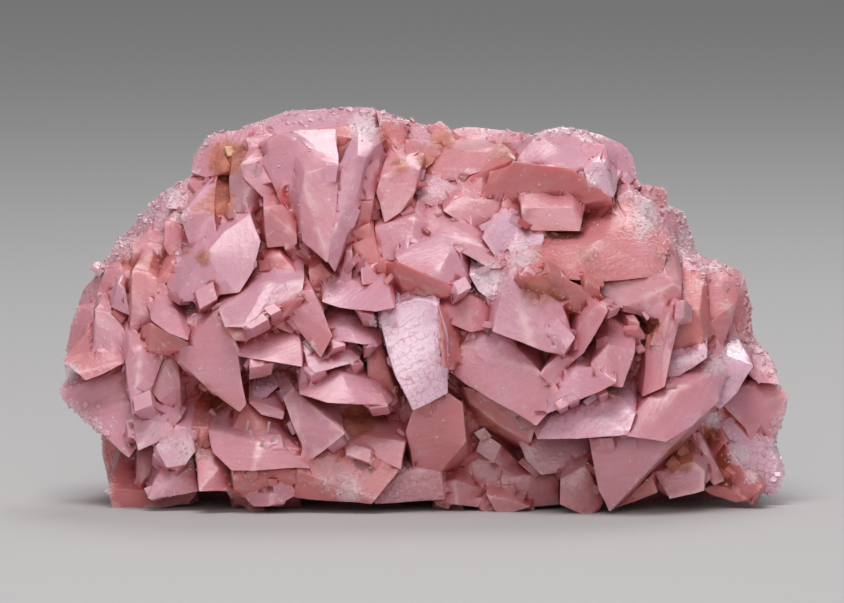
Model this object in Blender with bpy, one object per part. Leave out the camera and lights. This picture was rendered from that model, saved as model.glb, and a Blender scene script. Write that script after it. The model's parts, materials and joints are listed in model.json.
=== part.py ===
"""Rhodochrosite specimen: a hand-sized mound of grown-together, saddle-curved rhombohedral crystals on a
broken back, cut off flat underneath where it parted from its rock. One closed solid, origin on the floor."""

import math
import random

import bmesh
import bpy
from mathutils import Vector

for leftover in list(bpy.data.objects):
    bpy.data.objects.remove(leftover)

# ---------------------------------------------------------------- driving dimensions
MM = 0.001
SHEET_STEP = 0.125 * MM          # crystal outlines are laid out on a sheet ruled in eighths of a millimetre
SHEET_MIDDLE = 424.0             # sheet column that lies on x = 0
SHEET_FLOOR = 499.0              # sheet row of the floor line through the origin
SHEET_SETBACK = -0.6 * MM        # brings the middle of the finished specimen, front to back, on y = 0
SHEET_TILT = math.radians(5.0)   # the sheet leans back by this much, to face a viewer slightly above

RIM_DEPTH = 2.0 * MM             # how far behind the origin the widest outline lies
DOME_DEPTH = 19.0 * MM           # how far the front swells forward of that outline
DOME_REACH = 150.0               # sheet steps from the outline over which it swells
DOME_POWER = 0.7                 # below 1 the swelling starts steeply
BACK_DEPTH = 15.0 * MM           # how far the broken back swells behind the outline
CORE_GAP = 2.6 * MM              # the massive core lies this far under the crystal faces
CORE_INSET = 0.955               # core outline as a share of the whole outline
CORE_SPOKES = 36
CORE_RINGS = 5
CORE_CENTRE = (424.0, 360.0)
CORE_ROUGH = 0.9 * MM            # unevenness of the core's front
CORE_BACK_ROUGH = 1.6            # its broken back is this many times rougher
CORE_RING_POWER = 0.8            # below 1 the rings crowd towards the outline
CORE_BACK_POWER = 3.0            # the higher, the flatter the back and the tighter its edge
CORE_RIM = 2.0 * MM              # the core's front reaches no further behind the widest outline than this
PARALLEL = 1e-9                  # a stretch of outline closer to a spoke's own direction is passed over
FOOT_TOP = 450.0                 # below this sheet row the core draws back under the overhanging crystals
FOOT_EASE = 60.0                 # over this many rows
FOOT_BACK = 12.0 * MM            # and by this much

AXIS_SHARE = 0.45                # a crystal's side edges turn this share of the way its face is turned
DEPTH_UNDER = 4.0 * MM           # every crystal is rooted at least this far under the mean face
DEPTH_SHARE = 0.35               # and by this share of its width
ROOT_TAPER = 0.95                # its root is this share as wide as its face
RHOMB_ANGLE = math.radians(102.8)    # the obtuse corner of a rhodochrosite face
RHOMB_LEAN = 0.18                # how far the side edges lean under the face
FLAT_ANGLE = math.radians(1.0)   # faces that meet at less than this are one face
SLAB = 60.0 * MM                 # reach of the block that cuts the foot off flat

# swellings and hollows of the front: column, row, half width, half height, millimetres forward
FRONT_RELIEF = (
    (600, 345, 120, 95, 3.5),
    (410, 350, 60, 70, 1.0),
    (110, 400, 60, 60, 1.5),
    (505, 462, 85, 42, -6.5),
    (212, 402, 34, 26, -5.0),
    (268, 375, 26, 15, -4.0),
    (375, 422, 32, 14, -4.0),
    (680, 455, 22, 16, -4.0),
    (378, 213, 9, 14, -3.0),
    (210, 306, 34, 12, -1.5),
    (352, 352, 22, 9, -2.0),
    (560, 203, 26, 7, -2.0),
    (610, 325, 28, 22, -2.5),
)

# the specimen's outline from its lower left corner over the top to its lower right corner
OUTLINE = (
    (112, 600), (109, 485), (102, 455), (102, 430), (84, 415), (62, 398), (60, 391), (64, 374), (62, 358),
    (71, 339), (72, 317), (81, 297), (91, 281), (98, 268), (107, 255), (117, 242), (135, 234), (142, 216),
    (155, 198), (166, 187), (191, 175), (191, 164), (199, 149), (212, 134), (250, 123), (270, 117), (284, 111),
    (312, 116), (335, 112), (357, 106), (375, 108), (378, 113), (408, 120), (426, 125), (440, 121), (450, 130),
    (466, 126), (482, 133), (533, 134), (560, 127), (603, 136), (622, 144), (632, 155), (637, 179), (650, 184),
    (663, 189), (667, 207), (684, 213), (694, 250), (702, 270), (724, 265), (740, 271), (745, 292), (751, 320),
    (750, 345), (773, 362), (779, 385), (788, 394), (785, 410), (768, 450), (782, 470), (779, 485), (762, 600),
)

# The crystals of the front. Each row: millimetres the face stands proud of the swelling, degrees the face
# leans back to look up, degrees it swings to look right, then the corners of the face on the sheet.
CRYSTALS = (
    # smooth rounded knob and saddle on the upper left shoulder
    (0.6, 28, -22, (191, 173, 193, 156, 204, 141, 213, 134, 229, 132, 262, 126, 264, 160, 235, 173, 205, 178)),
    (1.2, 34, -8, (187, 180, 210, 175, 232, 176, 232, 192, 228, 213, 200, 209, 166, 208, 172, 193)),
    (0.3, 26, -36, (135, 234, 142, 216, 155, 198, 179, 183, 187, 181, 166, 208, 172, 222, 150, 245, 118, 243)),
    (0.6, 30, -25, (98, 268, 107, 255, 117, 242, 150, 242, 160, 262, 132, 271, 106, 271)),
    # plates under the shoulder
    (2.0, 14, 0, (181, 217, 215, 212, 219, 249, 193, 250)),
    (0.8, 8, -6, (216, 214, 232, 211, 244, 222, 222, 250, 217, 248)),
    (3.2, 22, -10, (250, 214, 262, 242, 255, 268, 240, 292, 208, 296, 176, 303, 190, 276, 205, 256, 224, 234)),
    (1.6, 2, 4, (230, 178, 262, 165, 276, 194, 262, 208, 250, 214, 231, 213)),
    (2.2, 24, 16, (240, 165, 262, 162, 277, 192, 264, 198, 246, 180)),
    (1.4, 6, 4, (264, 209, 283, 205, 297, 222, 298, 244, 268, 248)),
    (0.5, 10, -10, (264, 257, 282, 253, 306, 286, 290, 298, 268, 284)),
    (0.4, -6, 10, (283, 200, 302, 243, 298, 226, 290, 214, 278, 196)),
    # broad smooth faces along the top
    (0.5, 42, -4, (242, 127, 284, 112, 330, 115, 357, 107, 376, 109, 374, 146, 336, 148, 300, 136, 262, 138)),
    (1.0, 24, 6, (300, 137, 340, 142, 374, 138, 380, 168, 366, 170, 345, 160, 318, 166)),
    (1.0, 14, -18, (246, 138, 268, 138, 282, 168, 268, 178, 262, 163, 250, 150)),
    (2.6, 12, -16, (268, 142, 282, 135, 298, 139, 320, 166, 312, 204, 303, 243, 289, 214, 272, 182)),
    (3.8, 12, -12, (306, 174, 340, 165, 336, 215, 329, 264, 316, 252, 303, 243, 300, 200)),
    (3.9, 12, 20, (340, 165, 358, 155, 366, 158, 360, 186, 347, 236, 335, 272, 329, 262, 333, 215)),
    (2.2, 18, 18, (366, 168, 378, 184, 374, 201, 357, 201, 361, 184)),
    (0.6, -4, 22, (352, 204, 372, 203, 370, 222, 353, 240, 344, 262, 347, 232)),
    # blades and columns right of the top
    (2.5, 14, 12, (381, 178, 403, 167, 420, 171, 414, 195, 401, 213, 384, 224, 376, 194)),
    (1.4, 22, 6, (379, 120, 405, 122, 406, 166, 382, 172)),
    (1.6, 20, 18, (405, 140, 434, 163, 418, 176, 405, 168)),
    (0.5, 40, 4, (376, 110, 408, 120, 426, 125, 432, 152, 405, 150, 380, 132)),
    (0.5, 38, 4, (426, 127, 440, 121, 450, 130, 458, 152, 432, 152)),
    (1.6, 6, -14, (346, 250, 353, 252, 352, 280, 345, 288, 341, 275)),
    (1.9, 24, 6, (360, 270, 370, 270, 377, 283, 362, 286)),
    (1.4, 16, 4, (375, 227, 415, 217, 432, 228, 426, 250, 400, 262, 378, 260)),
    (0.5, 4, -6, (352, 230, 374, 226, 380, 262, 372, 290, 352, 262)),
    (0.7, 2, 10, (378, 262, 396, 262, 398, 292, 386, 292, 374, 284)),
    # long slabs across the top right
    (0.3, 42, 2, (450, 130, 466, 126, 482, 133, 534, 134, 538, 140, 514, 160, 500, 150, 470, 156, 438, 162)),
    (2.4, 32, -6, (422, 182, 428, 168, 470, 153, 506, 147, 516, 160, 490, 168, 460, 180, 440, 184)),
    (1.6, -12, -16, (463, 190, 466, 179, 514, 160, 498, 178, 481, 196, 463, 196)),
    (3.8, 38, 4, (514, 162, 536, 134, 562, 127, 586, 131, 602, 160, 613, 199, 588, 186, 568, 169)),
    (4.4, -28, -4, (481, 196, 514, 162, 568, 168, 590, 186, 612, 200, 556, 208, 500, 204)),
    (4.6, 34, 26, (583, 172, 592, 162, 602, 163, 613, 197, 604, 198, 590, 192)),
    (1.2, 26, 22, (584, 131, 603, 136, 622, 144, 633, 155, 637, 179, 613, 187, 602, 160)),
    (1.0, 14, 10, (613, 186, 637, 180, 642, 186, 628, 193, 614, 201)),
    (0.6, 14, 22, (641, 185, 663, 189, 667, 207, 663, 220, 640, 201)),
    (2.0, 20, 14, (614, 201, 630, 190, 643, 202, 663, 220, 673, 242, 682, 268, 650, 271, 620, 262, 598, 250)),
    (0.7, 14, 38, (667, 207, 684, 213, 694, 247, 702, 272, 682, 276, 672, 242, 663, 219)),
    (0.4, -8, -8, (574, 206, 614, 202, 600, 236, 590, 226, 581, 215)),
    (2.3, 4, 0, (520, 209, 572, 208, 581, 220, 579, 231, 552, 232, 531, 231, 522, 222)),
    (0.6, -12, 6, (500, 204, 520, 208, 529, 226, 524, 239, 510, 221, 502, 214)),
    (1.9, 6, 2, (463, 197, 499, 201, 503, 214, 481, 236, 470, 228, 443, 211, 450, 203)),
    (2.6, 16, 16, (481, 238, 500, 219, 508, 218, 524, 240, 506, 251, 494, 257)),
    (2.4, 30, 6, (508, 250, 524, 241, 542, 240, 536, 262, 518, 268, 511, 263)),
    (0.6, 12, -4, (424, 185, 462, 191, 464, 197, 443, 210, 426, 216, 416, 200)),
    (2.8, 30, -8, (424, 216, 440, 210, 470, 226, 506, 256, 513, 269, 490, 269, 462, 254, 450, 238, 424, 231)),
    # left flank
    (0.3, 8, -44, (96, 275, 106, 271, 98, 310, 76, 312, 82, 291)),
    (1.3, 6, -14, (106, 270, 132, 270, 133, 326, 110, 316, 95, 310, 100, 285)),
    (2.3, 4, -26, (119, 283, 126, 289, 131, 316, 121, 312, 112, 308)),
    (1.6, 6, -4, (133, 270, 150, 271, 168, 285, 176, 300, 160, 315, 152, 323, 151, 344, 133, 338)),
    (1.0, 18, -8, (132, 243, 160, 243, 176, 256, 160, 276, 133, 271)),
    (1.1, 4, 8, (166, 222, 180, 222, 193, 250, 191, 264, 178, 264, 165, 248)),
    (0.9, -8, 4, (158, 281, 174, 262, 183, 284, 176, 301, 164, 296)),
    (3.4, 42, -6, (152, 320, 165, 309, 180, 318, 191, 341, 170, 333)),
    (2.2, -22, -4, (152, 322, 190, 342, 186, 351, 150, 350)),
    (2.2, 10, -6, (95, 310, 112, 313, 134, 340, 121, 353, 96, 357)),
    (0.9, 6, -38, (70, 325, 78, 307, 96, 310, 95, 354, 66, 352)),
    (3.0, 26, -8, (62, 358, 96, 357, 115, 350, 133, 343, 146, 348, 126, 363, 104, 375, 88, 381, 70, 365)),
    (2.6, 10, -32, (65, 362, 72, 364, 87, 380, 79, 387, 67, 380)),
    (4.0, 15, -10, (60, 391, 90, 380, 128, 366, 150, 395, 141, 440, 131, 457, 100, 428, 64, 400)),
    (3.6, 15, -4, (130, 345, 168, 350, 153, 390, 134, 416, 127, 364)),
    (4.5, 12, 2, (133, 416, 152, 393, 160, 398, 183, 417, 177, 425, 156, 444, 140, 451)),
    (1.9, 0, 6, (168, 352, 180, 360, 182, 380, 177, 400, 181, 412, 160, 400, 152, 390)),
    (2.7, 4, -16, (186, 343, 222, 309, 237, 341, 247, 403, 240, 412, 214, 380, 180, 362)),
    (1.2, 10, -4, (190, 319, 223, 302, 224, 311, 188, 344, 176, 331)),
    # ledges left of the middle
    (4.4, 34, -10, (220, 311, 262, 284, 304, 283, 301, 297, 243, 327, 226, 327)),
    (4.1, -26, 8, (226, 326, 243, 326, 301, 297, 285, 316, 248, 341, 236, 340)),
    (3.3, 4, -16, (298, 294, 313, 290, 326, 315, 333, 336, 322, 358, 308, 341, 290, 317)),
    (0.8, 4, 6, (308, 272, 322, 262, 340, 286, 322, 300, 311, 290)),
    (4.0, 40, -4, (236, 354, 264, 330, 300, 332, 304, 367, 270, 361, 250, 358)),
    (2.4, 20, 12, (270, 318, 285, 312, 301, 326, 293, 334, 275, 327)),
    (3.9, 38, 4, (302, 345, 325, 350, 350, 348, 361, 358, 350, 364, 316, 373, 309, 366)),
    (3.2, 44, 0, (322, 302, 325, 290, 345, 283, 372, 284, 390, 290, 395, 308, 375, 312, 340, 308)),
    (3.1, 40, 2, (324, 320, 345, 314, 378, 318, 383, 344, 360, 344, 332, 339)),
    (1.1, -6, 6, (367, 345, 382, 344, 398, 400, 391, 406, 368, 386)),
    (4.0, 28, 2, (298, 370, 340, 370, 368, 379, 392, 400, 388, 405, 328, 402, 300, 394)),
    (1.2, 40, 4, (251, 396, 258, 387, 280, 385, 267, 397, 252, 401)),
    # the bright mosaic crystal in the middle and its shaded lower half
    (5.0, 12, -8, (380, 322, 384, 308, 420, 299, 438, 304, 447, 335, 443, 365, 448, 393, 413, 411, 397, 378)),
    (4.1, -18, 0, (413, 410, 448, 392, 462, 402, 466, 440, 441, 469, 415, 469, 406, 430)),
    (3.4, 4, 48, (437, 304, 459, 330, 452, 370, 444, 366, 447, 335)),
    (2.8, 20, 6, (437, 300, 441, 285, 462, 290, 481, 299, 494, 312, 490, 329, 470, 333, 451, 325)),
    (1.2, 0, 6, (450, 326, 490, 329, 496, 336, 461, 346, 447, 352)),
    (4.2, 36, 8, (395, 257, 419, 244, 441, 236, 454, 247, 472, 284, 460, 292, 441, 284, 400, 266)),
    (3.9, -26, -6, (396, 260, 441, 283, 460, 291, 437, 299, 403, 291)),
    (2.2, 12, 10, (469, 274, 505, 269, 504, 286, 493, 302, 478, 291)),
    (4.7, 8, -6, (508, 271, 516, 268, 560, 305, 569, 325, 566, 354, 545, 351, 491, 332, 497, 305)),
    (3.5, 15, -8, (442, 364, 460, 343, 491, 330, 520, 350, 536, 370, 562, 395, 536, 425, 490, 399, 465, 384)),
    (3.1, 2, 16, (538, 373, 560, 350, 573, 358, 561, 385, 550, 386)),
    # the forward swelling right of the middle
    (4.0, 42, 2, (515, 263, 540, 250, 600, 240, 640, 266, 660, 276, 600, 282, 560, 276, 518, 276)),
    (5.5, 6, 4, (598, 266, 640, 270, 665, 276, 681, 290, 677, 309, 650, 319, 620, 309, 601, 297, 590, 281)),
    (3.9, -36, -4, (517, 275, 560, 277, 602, 296, 601, 311, 575, 313, 545, 301)),
    (4.6, 2, -30, (598, 304, 607, 310, 583, 353, 567, 366, 565, 345, 583, 318)),
    (4.6, 6, 4, (605, 345, 633, 350, 622, 387, 600, 384, 589, 365)),
    (3.2, 16, -8, (594, 333, 613, 330, 610, 346, 596, 354)),
    (4.0, 2, -24, (627, 320, 638, 322, 641, 353, 632, 351)),
    (5.0, 26, -4, (575, 367, 592, 367, 615, 383, 600, 390, 562, 402, 545, 413, 562, 386)),
    (3.0, 14, 4, (664, 275, 702, 271, 702, 302, 680, 309, 677, 290)),
    (3.5, 10, 14, (698, 274, 724, 265, 737, 273, 736, 300, 723, 330, 716, 363, 705, 361, 700, 330)),
    (2.1, -10, 2, (679, 308, 698, 310, 703, 350, 690, 359, 670, 358, 667, 345)),
    (4.2, 2, -12, (671, 303, 681, 306, 667, 355, 663, 386, 640, 396, 648, 345, 660, 330)),
    # right shoulder and corner blocks
    (0.5, 6, 32, (735, 301, 745, 276, 751, 305, 751, 346, 735, 339, 722, 330)),
    (1.2, 22, 26, (723, 265, 740, 270, 746, 292, 736, 302, 732, 285)),
    (1.9, 34, 8, (720, 330, 735, 337, 752, 349, 773, 362, 779, 385, 757, 382, 735, 359, 718, 353)),
    (3.5, 20, 10, (712, 354, 727, 355, 752, 366, 736, 392, 719, 409, 700, 396, 705, 375)),
    (4.2, 30, -8, (667, 360, 692, 360, 705, 349, 704, 358, 690, 367, 664, 384)),
    (1.8, 12, 22, (738, 385, 760, 382, 780, 385, 788, 394, 785, 411, 773, 443, 768, 452, 750, 433, 722, 406)),
    # lower left corner
    (0.9, 0, -34, (102, 430, 118, 444, 119, 470, 110, 486, 102, 455)),
    (2.5, 20, -8, (116, 468, 135, 455, 150, 460, 150, 478, 136, 491, 114, 490, 109, 480)),
    (1.6, 0, 4, (138, 448, 166, 445, 160, 480, 148, 497, 137, 490)),
    (3.2, 14, 2, (163, 467, 194, 455, 196, 477, 199, 490, 150, 498, 155, 484)),
    (2.7, 10, 4, (156, 446, 177, 427, 192, 428, 198, 450, 187, 464, 168, 467)),
    (2.0, -14, 0, (109, 489, 150, 492, 200, 489, 195, 497, 175, 505, 150, 509, 130, 513, 114, 510)),
    (1.0, -6, 0, (193, 427, 210, 427, 210, 447, 194, 447)),
    (1.9, 22, 2, (197, 448, 214, 448, 233, 463, 241, 476, 238, 491, 200, 490)),
    # ledges of the lower middle
    (3.4, 40, -2, (209, 430, 232, 427, 262, 436, 288, 436, 312, 468, 233, 470, 214, 452)),
    (2.8, -20, 0, (233, 468, 297, 468, 297, 483, 250, 485, 236, 489)),
    (1.0, 14, 8, (246, 402, 286, 414, 300, 455, 288, 440, 262, 438, 232, 430)),
    (2.3, 2, -2, (239, 488, 262, 480, 293, 481, 298, 494, 270, 505, 254, 505)),
    (3.3, 20, -16, (284, 397, 293, 386, 306, 398, 346, 433, 312, 438, 309, 460)),
    (3.3, 30, 4, (311, 436, 355, 433, 406, 441, 401, 468, 343, 446)),
    (3.2, -10, -4, (306, 440, 343, 444, 401, 467, 381, 480, 373, 503, 345, 501, 320, 496, 296, 497, 297, 470)),
    (2.0, 36, 8, (249, 402, 262, 401, 286, 411, 285, 419, 262, 414)),
    (1.8, 0, 2, (380, 480, 415, 467, 441, 470, 446, 499, 400, 497, 375, 503)),
    # shaded blocks under the overhang
    (3.4, 10, -10, (442, 467, 465, 443, 482, 440, 502, 445, 532, 480, 520, 507, 500, 501, 455, 480)),
    (1.9, 0, 0, (420, 480, 455, 478, 490, 492, 501, 509, 480, 499, 455, 504, 428, 498)),
    (2.2, -8, 0, (486, 494, 520, 502, 530, 506, 508, 513, 495, 511)),
    (2.6, 10, 2, (518, 440, 535, 437, 592, 439, 594, 462, 575, 471, 540, 475, 525, 460)),
    (2.2, -4, 2, (500, 478, 530, 474, 559, 474, 559, 504, 525, 507, 505, 501)),
    (2.8, 2, 6, (559, 478, 586, 463, 602, 502, 590, 515, 580, 513, 559, 503)),
    (1.0, -24, -8, (463, 386, 486, 391, 536, 425, 531, 441, 500, 426, 470, 403)),
    # bright lens and big wedge of the lower right
    (5.0, 30, -4, (536, 439, 550, 415, 572, 405, 594, 396, 621, 397, 634, 412, 625, 435, 572, 433)),
    (4.6, 24, 8, (624, 436, 632, 412, 650, 392, 668, 384, 700, 385, 717, 400, 690, 426, 664, 442)),
    (4.4, -12, 8, (588, 437, 664, 441, 691, 424, 655, 461, 608, 511, 597, 490)),
    (1.7, 10, 2, (652, 472, 672, 470, 692, 460, 703, 470, 703, 489, 668, 498, 660, 481)),
    (2.3, 10, -14, (687, 430, 698, 431, 723, 480, 712, 485, 700, 471)),
    (3.4, 26, 16, (703, 415, 722, 407, 745, 423, 770, 449, 784, 470, 780, 487, 768, 497, 758, 490, 730, 456)),
    (3.0, 0, -34, (700, 425, 715, 431, 759, 490, 745, 501, 722, 498, 714, 480)),
    (1.2, -10, 0, (700, 488, 715, 483, 747, 498, 735, 502, 710, 494)),
    (0.6, -6, 4, (612, 508, 650, 474, 656, 492, 640, 497)),
)

# crystals of chance size and turn that fill in between, and clothe the sides and the back
FILL_SEED = 11
FILL_COUNT = 48
FILL_WIDTH = (2.6 * MM, 4.6 * MM)
FILL_PROUD = (-0.4 * MM, 0.9 * MM)
FILL_DEPTH = 4.5 * MM
FILL_COLUMNS = (70.0, 780.0)
FILL_ROWS = (120.0, 480.0)
FILL_REACH = 0.93                # share of the way from the core's centre to the outline
FILL_UP = (-0.3, 0.7)            # how far such a crystal's face is turned up, and aside
FILL_ASIDE = (-0.5, 0.5)
FILL_LENGTH = (0.7, 1.2)         # length of its face as a share of the width
CLOTHED_FROM = -3.0 * MM         # sides and back are clothed from this height up
CLOTHED_FACING = -0.25           # and where the core looks back at least this much
FLANK_SHARE = 0.46
FLANK_WIDTH = (4.0 * MM, 8.5 * MM)
FLANK_PROUD = (0.8 * MM, 2.6 * MM)
FLANK_TILT = math.radians(34.0)
FLANK_TILT_SHARE = 0.7
BLOCK_LENGTH = (0.7, 1.3)
BLOCK_DEPTH_UNDER = 3.0 * MM
BLOCK_DEPTH_SHARE = 0.6
BACK_SHARE = 0.2
BACK_WIDTH = (7.0 * MM, 16.0 * MM)
BACK_PROUD = (-0.5 * MM, 2.8 * MM)
CLEAVAGE_UP = 0.35               # the back is broken along one cleavage, which looks this much up and aside
CLEAVAGE_ASIDE = 0.2
CLEAVAGE_SCATTER = 0.3
CLEAVAGE_SPINS = (0.4, 2.2)      # the two ways, in radians, in which its blocks are turned
OUTLINE_SHARE = 0.99             # crystals of chance keep this far inside the outline
SHRINK = 0.8                     # one that does not fit is tried again at this share of its size
SHRINK_TRIES = 4
BACK_NORMAL = 0.62               # core faces looking back more squarely than this are broken, not grown

STONE_PINK = (0.60, 0.27, 0.30, 1.0)
STONE_ROUGHNESS = 0.42

# ---------------------------------------------------------------- the sheet and the swelling of the front
RIGHT = Vector((1.0, 0.0, 0.0))
UP = Vector((0.0, math.sin(SHEET_TILT), math.cos(SHEET_TILT)))
INWARD = Vector((0.0, math.cos(SHEET_TILT), -math.sin(SHEET_TILT)))
SETBACK = Vector((0.0, SHEET_SETBACK, 0.0))


def on_sheet(column, row, depth):
    """The point under a sheet position, depth metres behind the sheet's own plane."""
    across = (column - SHEET_MIDDLE) * SHEET_STEP
    above = (SHEET_FLOOR - row) * SHEET_STEP
    return RIGHT * across + UP * above + INWARD * depth + SETBACK


def outline_distance(column, row):
    """Sheet steps from a sheet position to the nearest stretch of the outline."""
    nearest = math.inf
    for (x0, y0), (x1, y1) in zip(OUTLINE, OUTLINE[1:]):
        along_x = x1 - x0
        along_y = y1 - y0
        share = ((column - x0) * along_x + (row - y0) * along_y) / (along_x ** 2 + along_y ** 2)
        share = min(1.0, max(0.0, share))
        nearest = min(nearest, math.hypot(column - x0 - share * along_x, row - y0 - share * along_y))
    return nearest


def face_depth(column, row):
    """Depth of the mean surface of the crystal faces at a sheet position."""
    inside = min(1.0, outline_distance(column, row) / DOME_REACH)
    depth = RIM_DEPTH - DOME_DEPTH * (1.0 - (1.0 - inside) ** 2) ** DOME_POWER
    for middle_x, middle_y, half_x, half_y, forward in FRONT_RELIEF:
        spread = ((column - middle_x) / half_x) ** 2 + ((row - middle_y) / half_y) ** 2
        depth -= forward * MM * math.exp(-spread)
    return depth


def sheet_place(point):
    """The sheet column and row that a point lies behind."""
    drawn = point - SETBACK
    return drawn.dot(RIGHT) / SHEET_STEP + SHEET_MIDDLE, SHEET_FLOOR - drawn.dot(UP) / SHEET_STEP


def smooth_share(value):
    """Eases a share from 0 to 1."""
    value = min(1.0, max(0.0, value))
    return value * value * (3.0 - 2.0 * value)


# ---------------------------------------------------------------- the massive core
def spoke_length(angle):
    """Distance from the core's centre to the outline in one direction, in sheet steps."""
    reach_x = math.cos(angle)
    reach_y = math.sin(angle)
    closed = OUTLINE + (OUTLINE[0],)
    longest = 0.0
    for (x0, y0), (x1, y1) in zip(closed, closed[1:]):
        edge_x = x1 - x0
        edge_y = y1 - y0
        crossing = reach_x * edge_y - reach_y * edge_x
        if abs(crossing) < PARALLEL:
            continue
        from_x = x0 - CORE_CENTRE[0]
        from_y = y0 - CORE_CENTRE[1]
        distance = (from_x * edge_y - from_y * edge_x) / crossing
        share = (from_x * reach_y - from_y * reach_x) / crossing
        if distance > 0.0 and 0.0 <= share <= 1.0:
            longest = max(longest, distance)
    return longest


def core_mesh(chance):
    """Closed lump: rings of points on the front and on the back that share the outermost ring."""
    mesh = bmesh.new()
    spokes = [math.tau * number / CORE_SPOKES for number in range(CORE_SPOKES)]
    lengths = [spoke_length(angle) * CORE_INSET for angle in spokes]
    rings = {}
    for side in ("front", "back"):
        for ring in range(1, CORE_RINGS + 1):
            share = (ring / CORE_RINGS) ** CORE_RING_POWER
            if side == "back" and ring == CORE_RINGS:
                rings[side, ring] = rings["front", ring]
                continue
            corners = []
            for angle, length in zip(spokes, lengths):
                column = CORE_CENTRE[0] + math.cos(angle) * length * share
                row = CORE_CENTRE[1] + math.sin(angle) * length * share
                rough = chance.uniform(-CORE_ROUGH, CORE_ROUGH)
                if side == "front":
                    depth = face_depth(column, row) + CORE_GAP
                    depth += FOOT_BACK * smooth_share((row - FOOT_TOP) / FOOT_EASE)
                    depth = min(depth, RIM_DEPTH + CORE_RIM) + rough
                else:
                    swell = BACK_DEPTH * (1.0 - share ** CORE_BACK_POWER)
                    depth = RIM_DEPTH + swell + rough * CORE_BACK_ROUGH
                corners.append(mesh.verts.new(on_sheet(column, row, depth)))
            rings[side, ring] = corners
    for side in ("front", "back"):
        depth = face_depth(*CORE_CENTRE) + CORE_GAP if side == "front" else RIM_DEPTH + BACK_DEPTH
        middle = mesh.verts.new(on_sheet(*CORE_CENTRE, depth))
        for number in range(CORE_SPOKES):
            after = (number + 1) % CORE_SPOKES
            mesh.faces.new((middle, rings[side, 1][number], rings[side, 1][after]))
            for ring in range(1, CORE_RINGS):
                inner = rings[side, ring]
                outer = rings[side, ring + 1]
                mesh.faces.new((inner[number], outer[number], outer[after], inner[after]))
    bmesh.ops.triangulate(mesh, faces=mesh.faces[:])
    bmesh.ops.recalc_face_normals(mesh, faces=mesh.faces[:])
    return mesh


# ---------------------------------------------------------------- one crystal
def hull_object(name, points, home):
    """A convex crystal through the given corners."""
    shape = bmesh.new()
    for point in points:
        shape.verts.new(point)
    bmesh.ops.convex_hull(shape, input=shape.verts[:])
    loose = [corner for corner in shape.verts if not corner.link_faces]
    bmesh.ops.delete(shape, geom=loose, context="VERTS")
    bmesh.ops.dissolve_limit(shape, angle_limit=FLAT_ANGLE, verts=shape.verts[:], edges=shape.edges[:])
    bmesh.ops.recalc_face_normals(shape, faces=shape.faces[:])
    mesh = bpy.data.meshes.new(name)
    shape.to_mesh(mesh)
    shape.free()
    crystal = bpy.data.objects.new(name, mesh)
    home.objects.link(crystal)
    return crystal


def drawn_crystal(number, row, home):
    """A front crystal: its face as laid out on the sheet, extruded back into the core."""
    proud, lean, swing, corners = row
    columns = corners[0::2]
    rows = corners[1::2]
    middle_x = sum(columns) / len(columns)
    middle_y = sum(rows) / len(rows)
    area = 0.0
    for index in range(len(columns)):
        after = (index + 1) % len(columns)
        area += columns[index] * rows[after] - columns[after] * rows[index]
    width = math.sqrt(abs(area) / 2.0) * SHEET_STEP
    depth = face_depth(middle_x, middle_y) - proud * MM
    rise = math.tan(math.radians(lean))
    turn = math.tan(math.radians(swing))
    root = proud * MM + DEPTH_UNDER + DEPTH_SHARE * width
    sink = math.tan(math.radians(lean * AXIS_SHARE)) * root / SHEET_STEP
    shift = math.tan(math.radians(swing * AXIS_SHARE)) * root / SHEET_STEP
    points = []
    for column, line in zip(columns, rows):
        slope = ((middle_y - line) * rise + (column - middle_x) * turn) * SHEET_STEP
        points.append(on_sheet(column, line, depth + slope))
        far_x = middle_x + (column - middle_x) * ROOT_TAPER - shift
        far_y = middle_y + (line - middle_y) * ROOT_TAPER + sink
        points.append(on_sheet(far_x, far_y, depth + slope + root))
    return hull_object("crystal_%03d" % number, points, home)


def rhomb_corners(centre, normal, spin, width, length, depth):
    """Corners of a rhomb-faced block with its face centred on a point; its sides lean as in the mineral."""
    side = normal.orthogonal().normalized()
    cross = normal.cross(side)
    first = side * math.cos(spin) + cross * math.sin(spin)
    second = side * math.cos(spin + RHOMB_ANGLE) + cross * math.sin(spin + RHOMB_ANGLE)
    down = (-normal + (first + second) * RHOMB_LEAN).normalized() * depth
    points = []
    for a, b in ((-0.5, -0.5), (0.5, -0.5), (0.5, 0.5), (-0.5, 0.5)):
        corner = centre + first * width * a + second * length * b
        points.extend((corner, corner + down))
    return points


def inside_outline(points):
    """Whether every corner lies behind the drawn outline, so that nothing new shows from the front."""
    for point in points:
        column, line = sheet_place(point)
        angle = math.atan2(line - CORE_CENTRE[1], column - CORE_CENTRE[0])
        reach = math.hypot(column - CORE_CENTRE[0], line - CORE_CENTRE[1])
        if reach > spoke_length(angle) * OUTLINE_SHARE:
            return False
    return True


# ---------------------------------------------------------------- growing the specimen
chance = random.Random(FILL_SEED)
druse = bpy.data.collections.new("druse")
bpy.context.scene.collection.children.link(druse)

core_shape = core_mesh(chance)
core_faces = [(face.calc_center_median(), face.normal.copy()) for face in core_shape.faces]
core_data = bpy.data.meshes.new("rhodochrosite_cluster")
core_shape.to_mesh(core_data)
core_shape.free()
specimen = bpy.data.objects.new("rhodochrosite_cluster", core_data)
bpy.context.scene.collection.objects.link(specimen)

for number, row in enumerate(CRYSTALS):
    drawn_crystal(number, row, druse)

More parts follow.
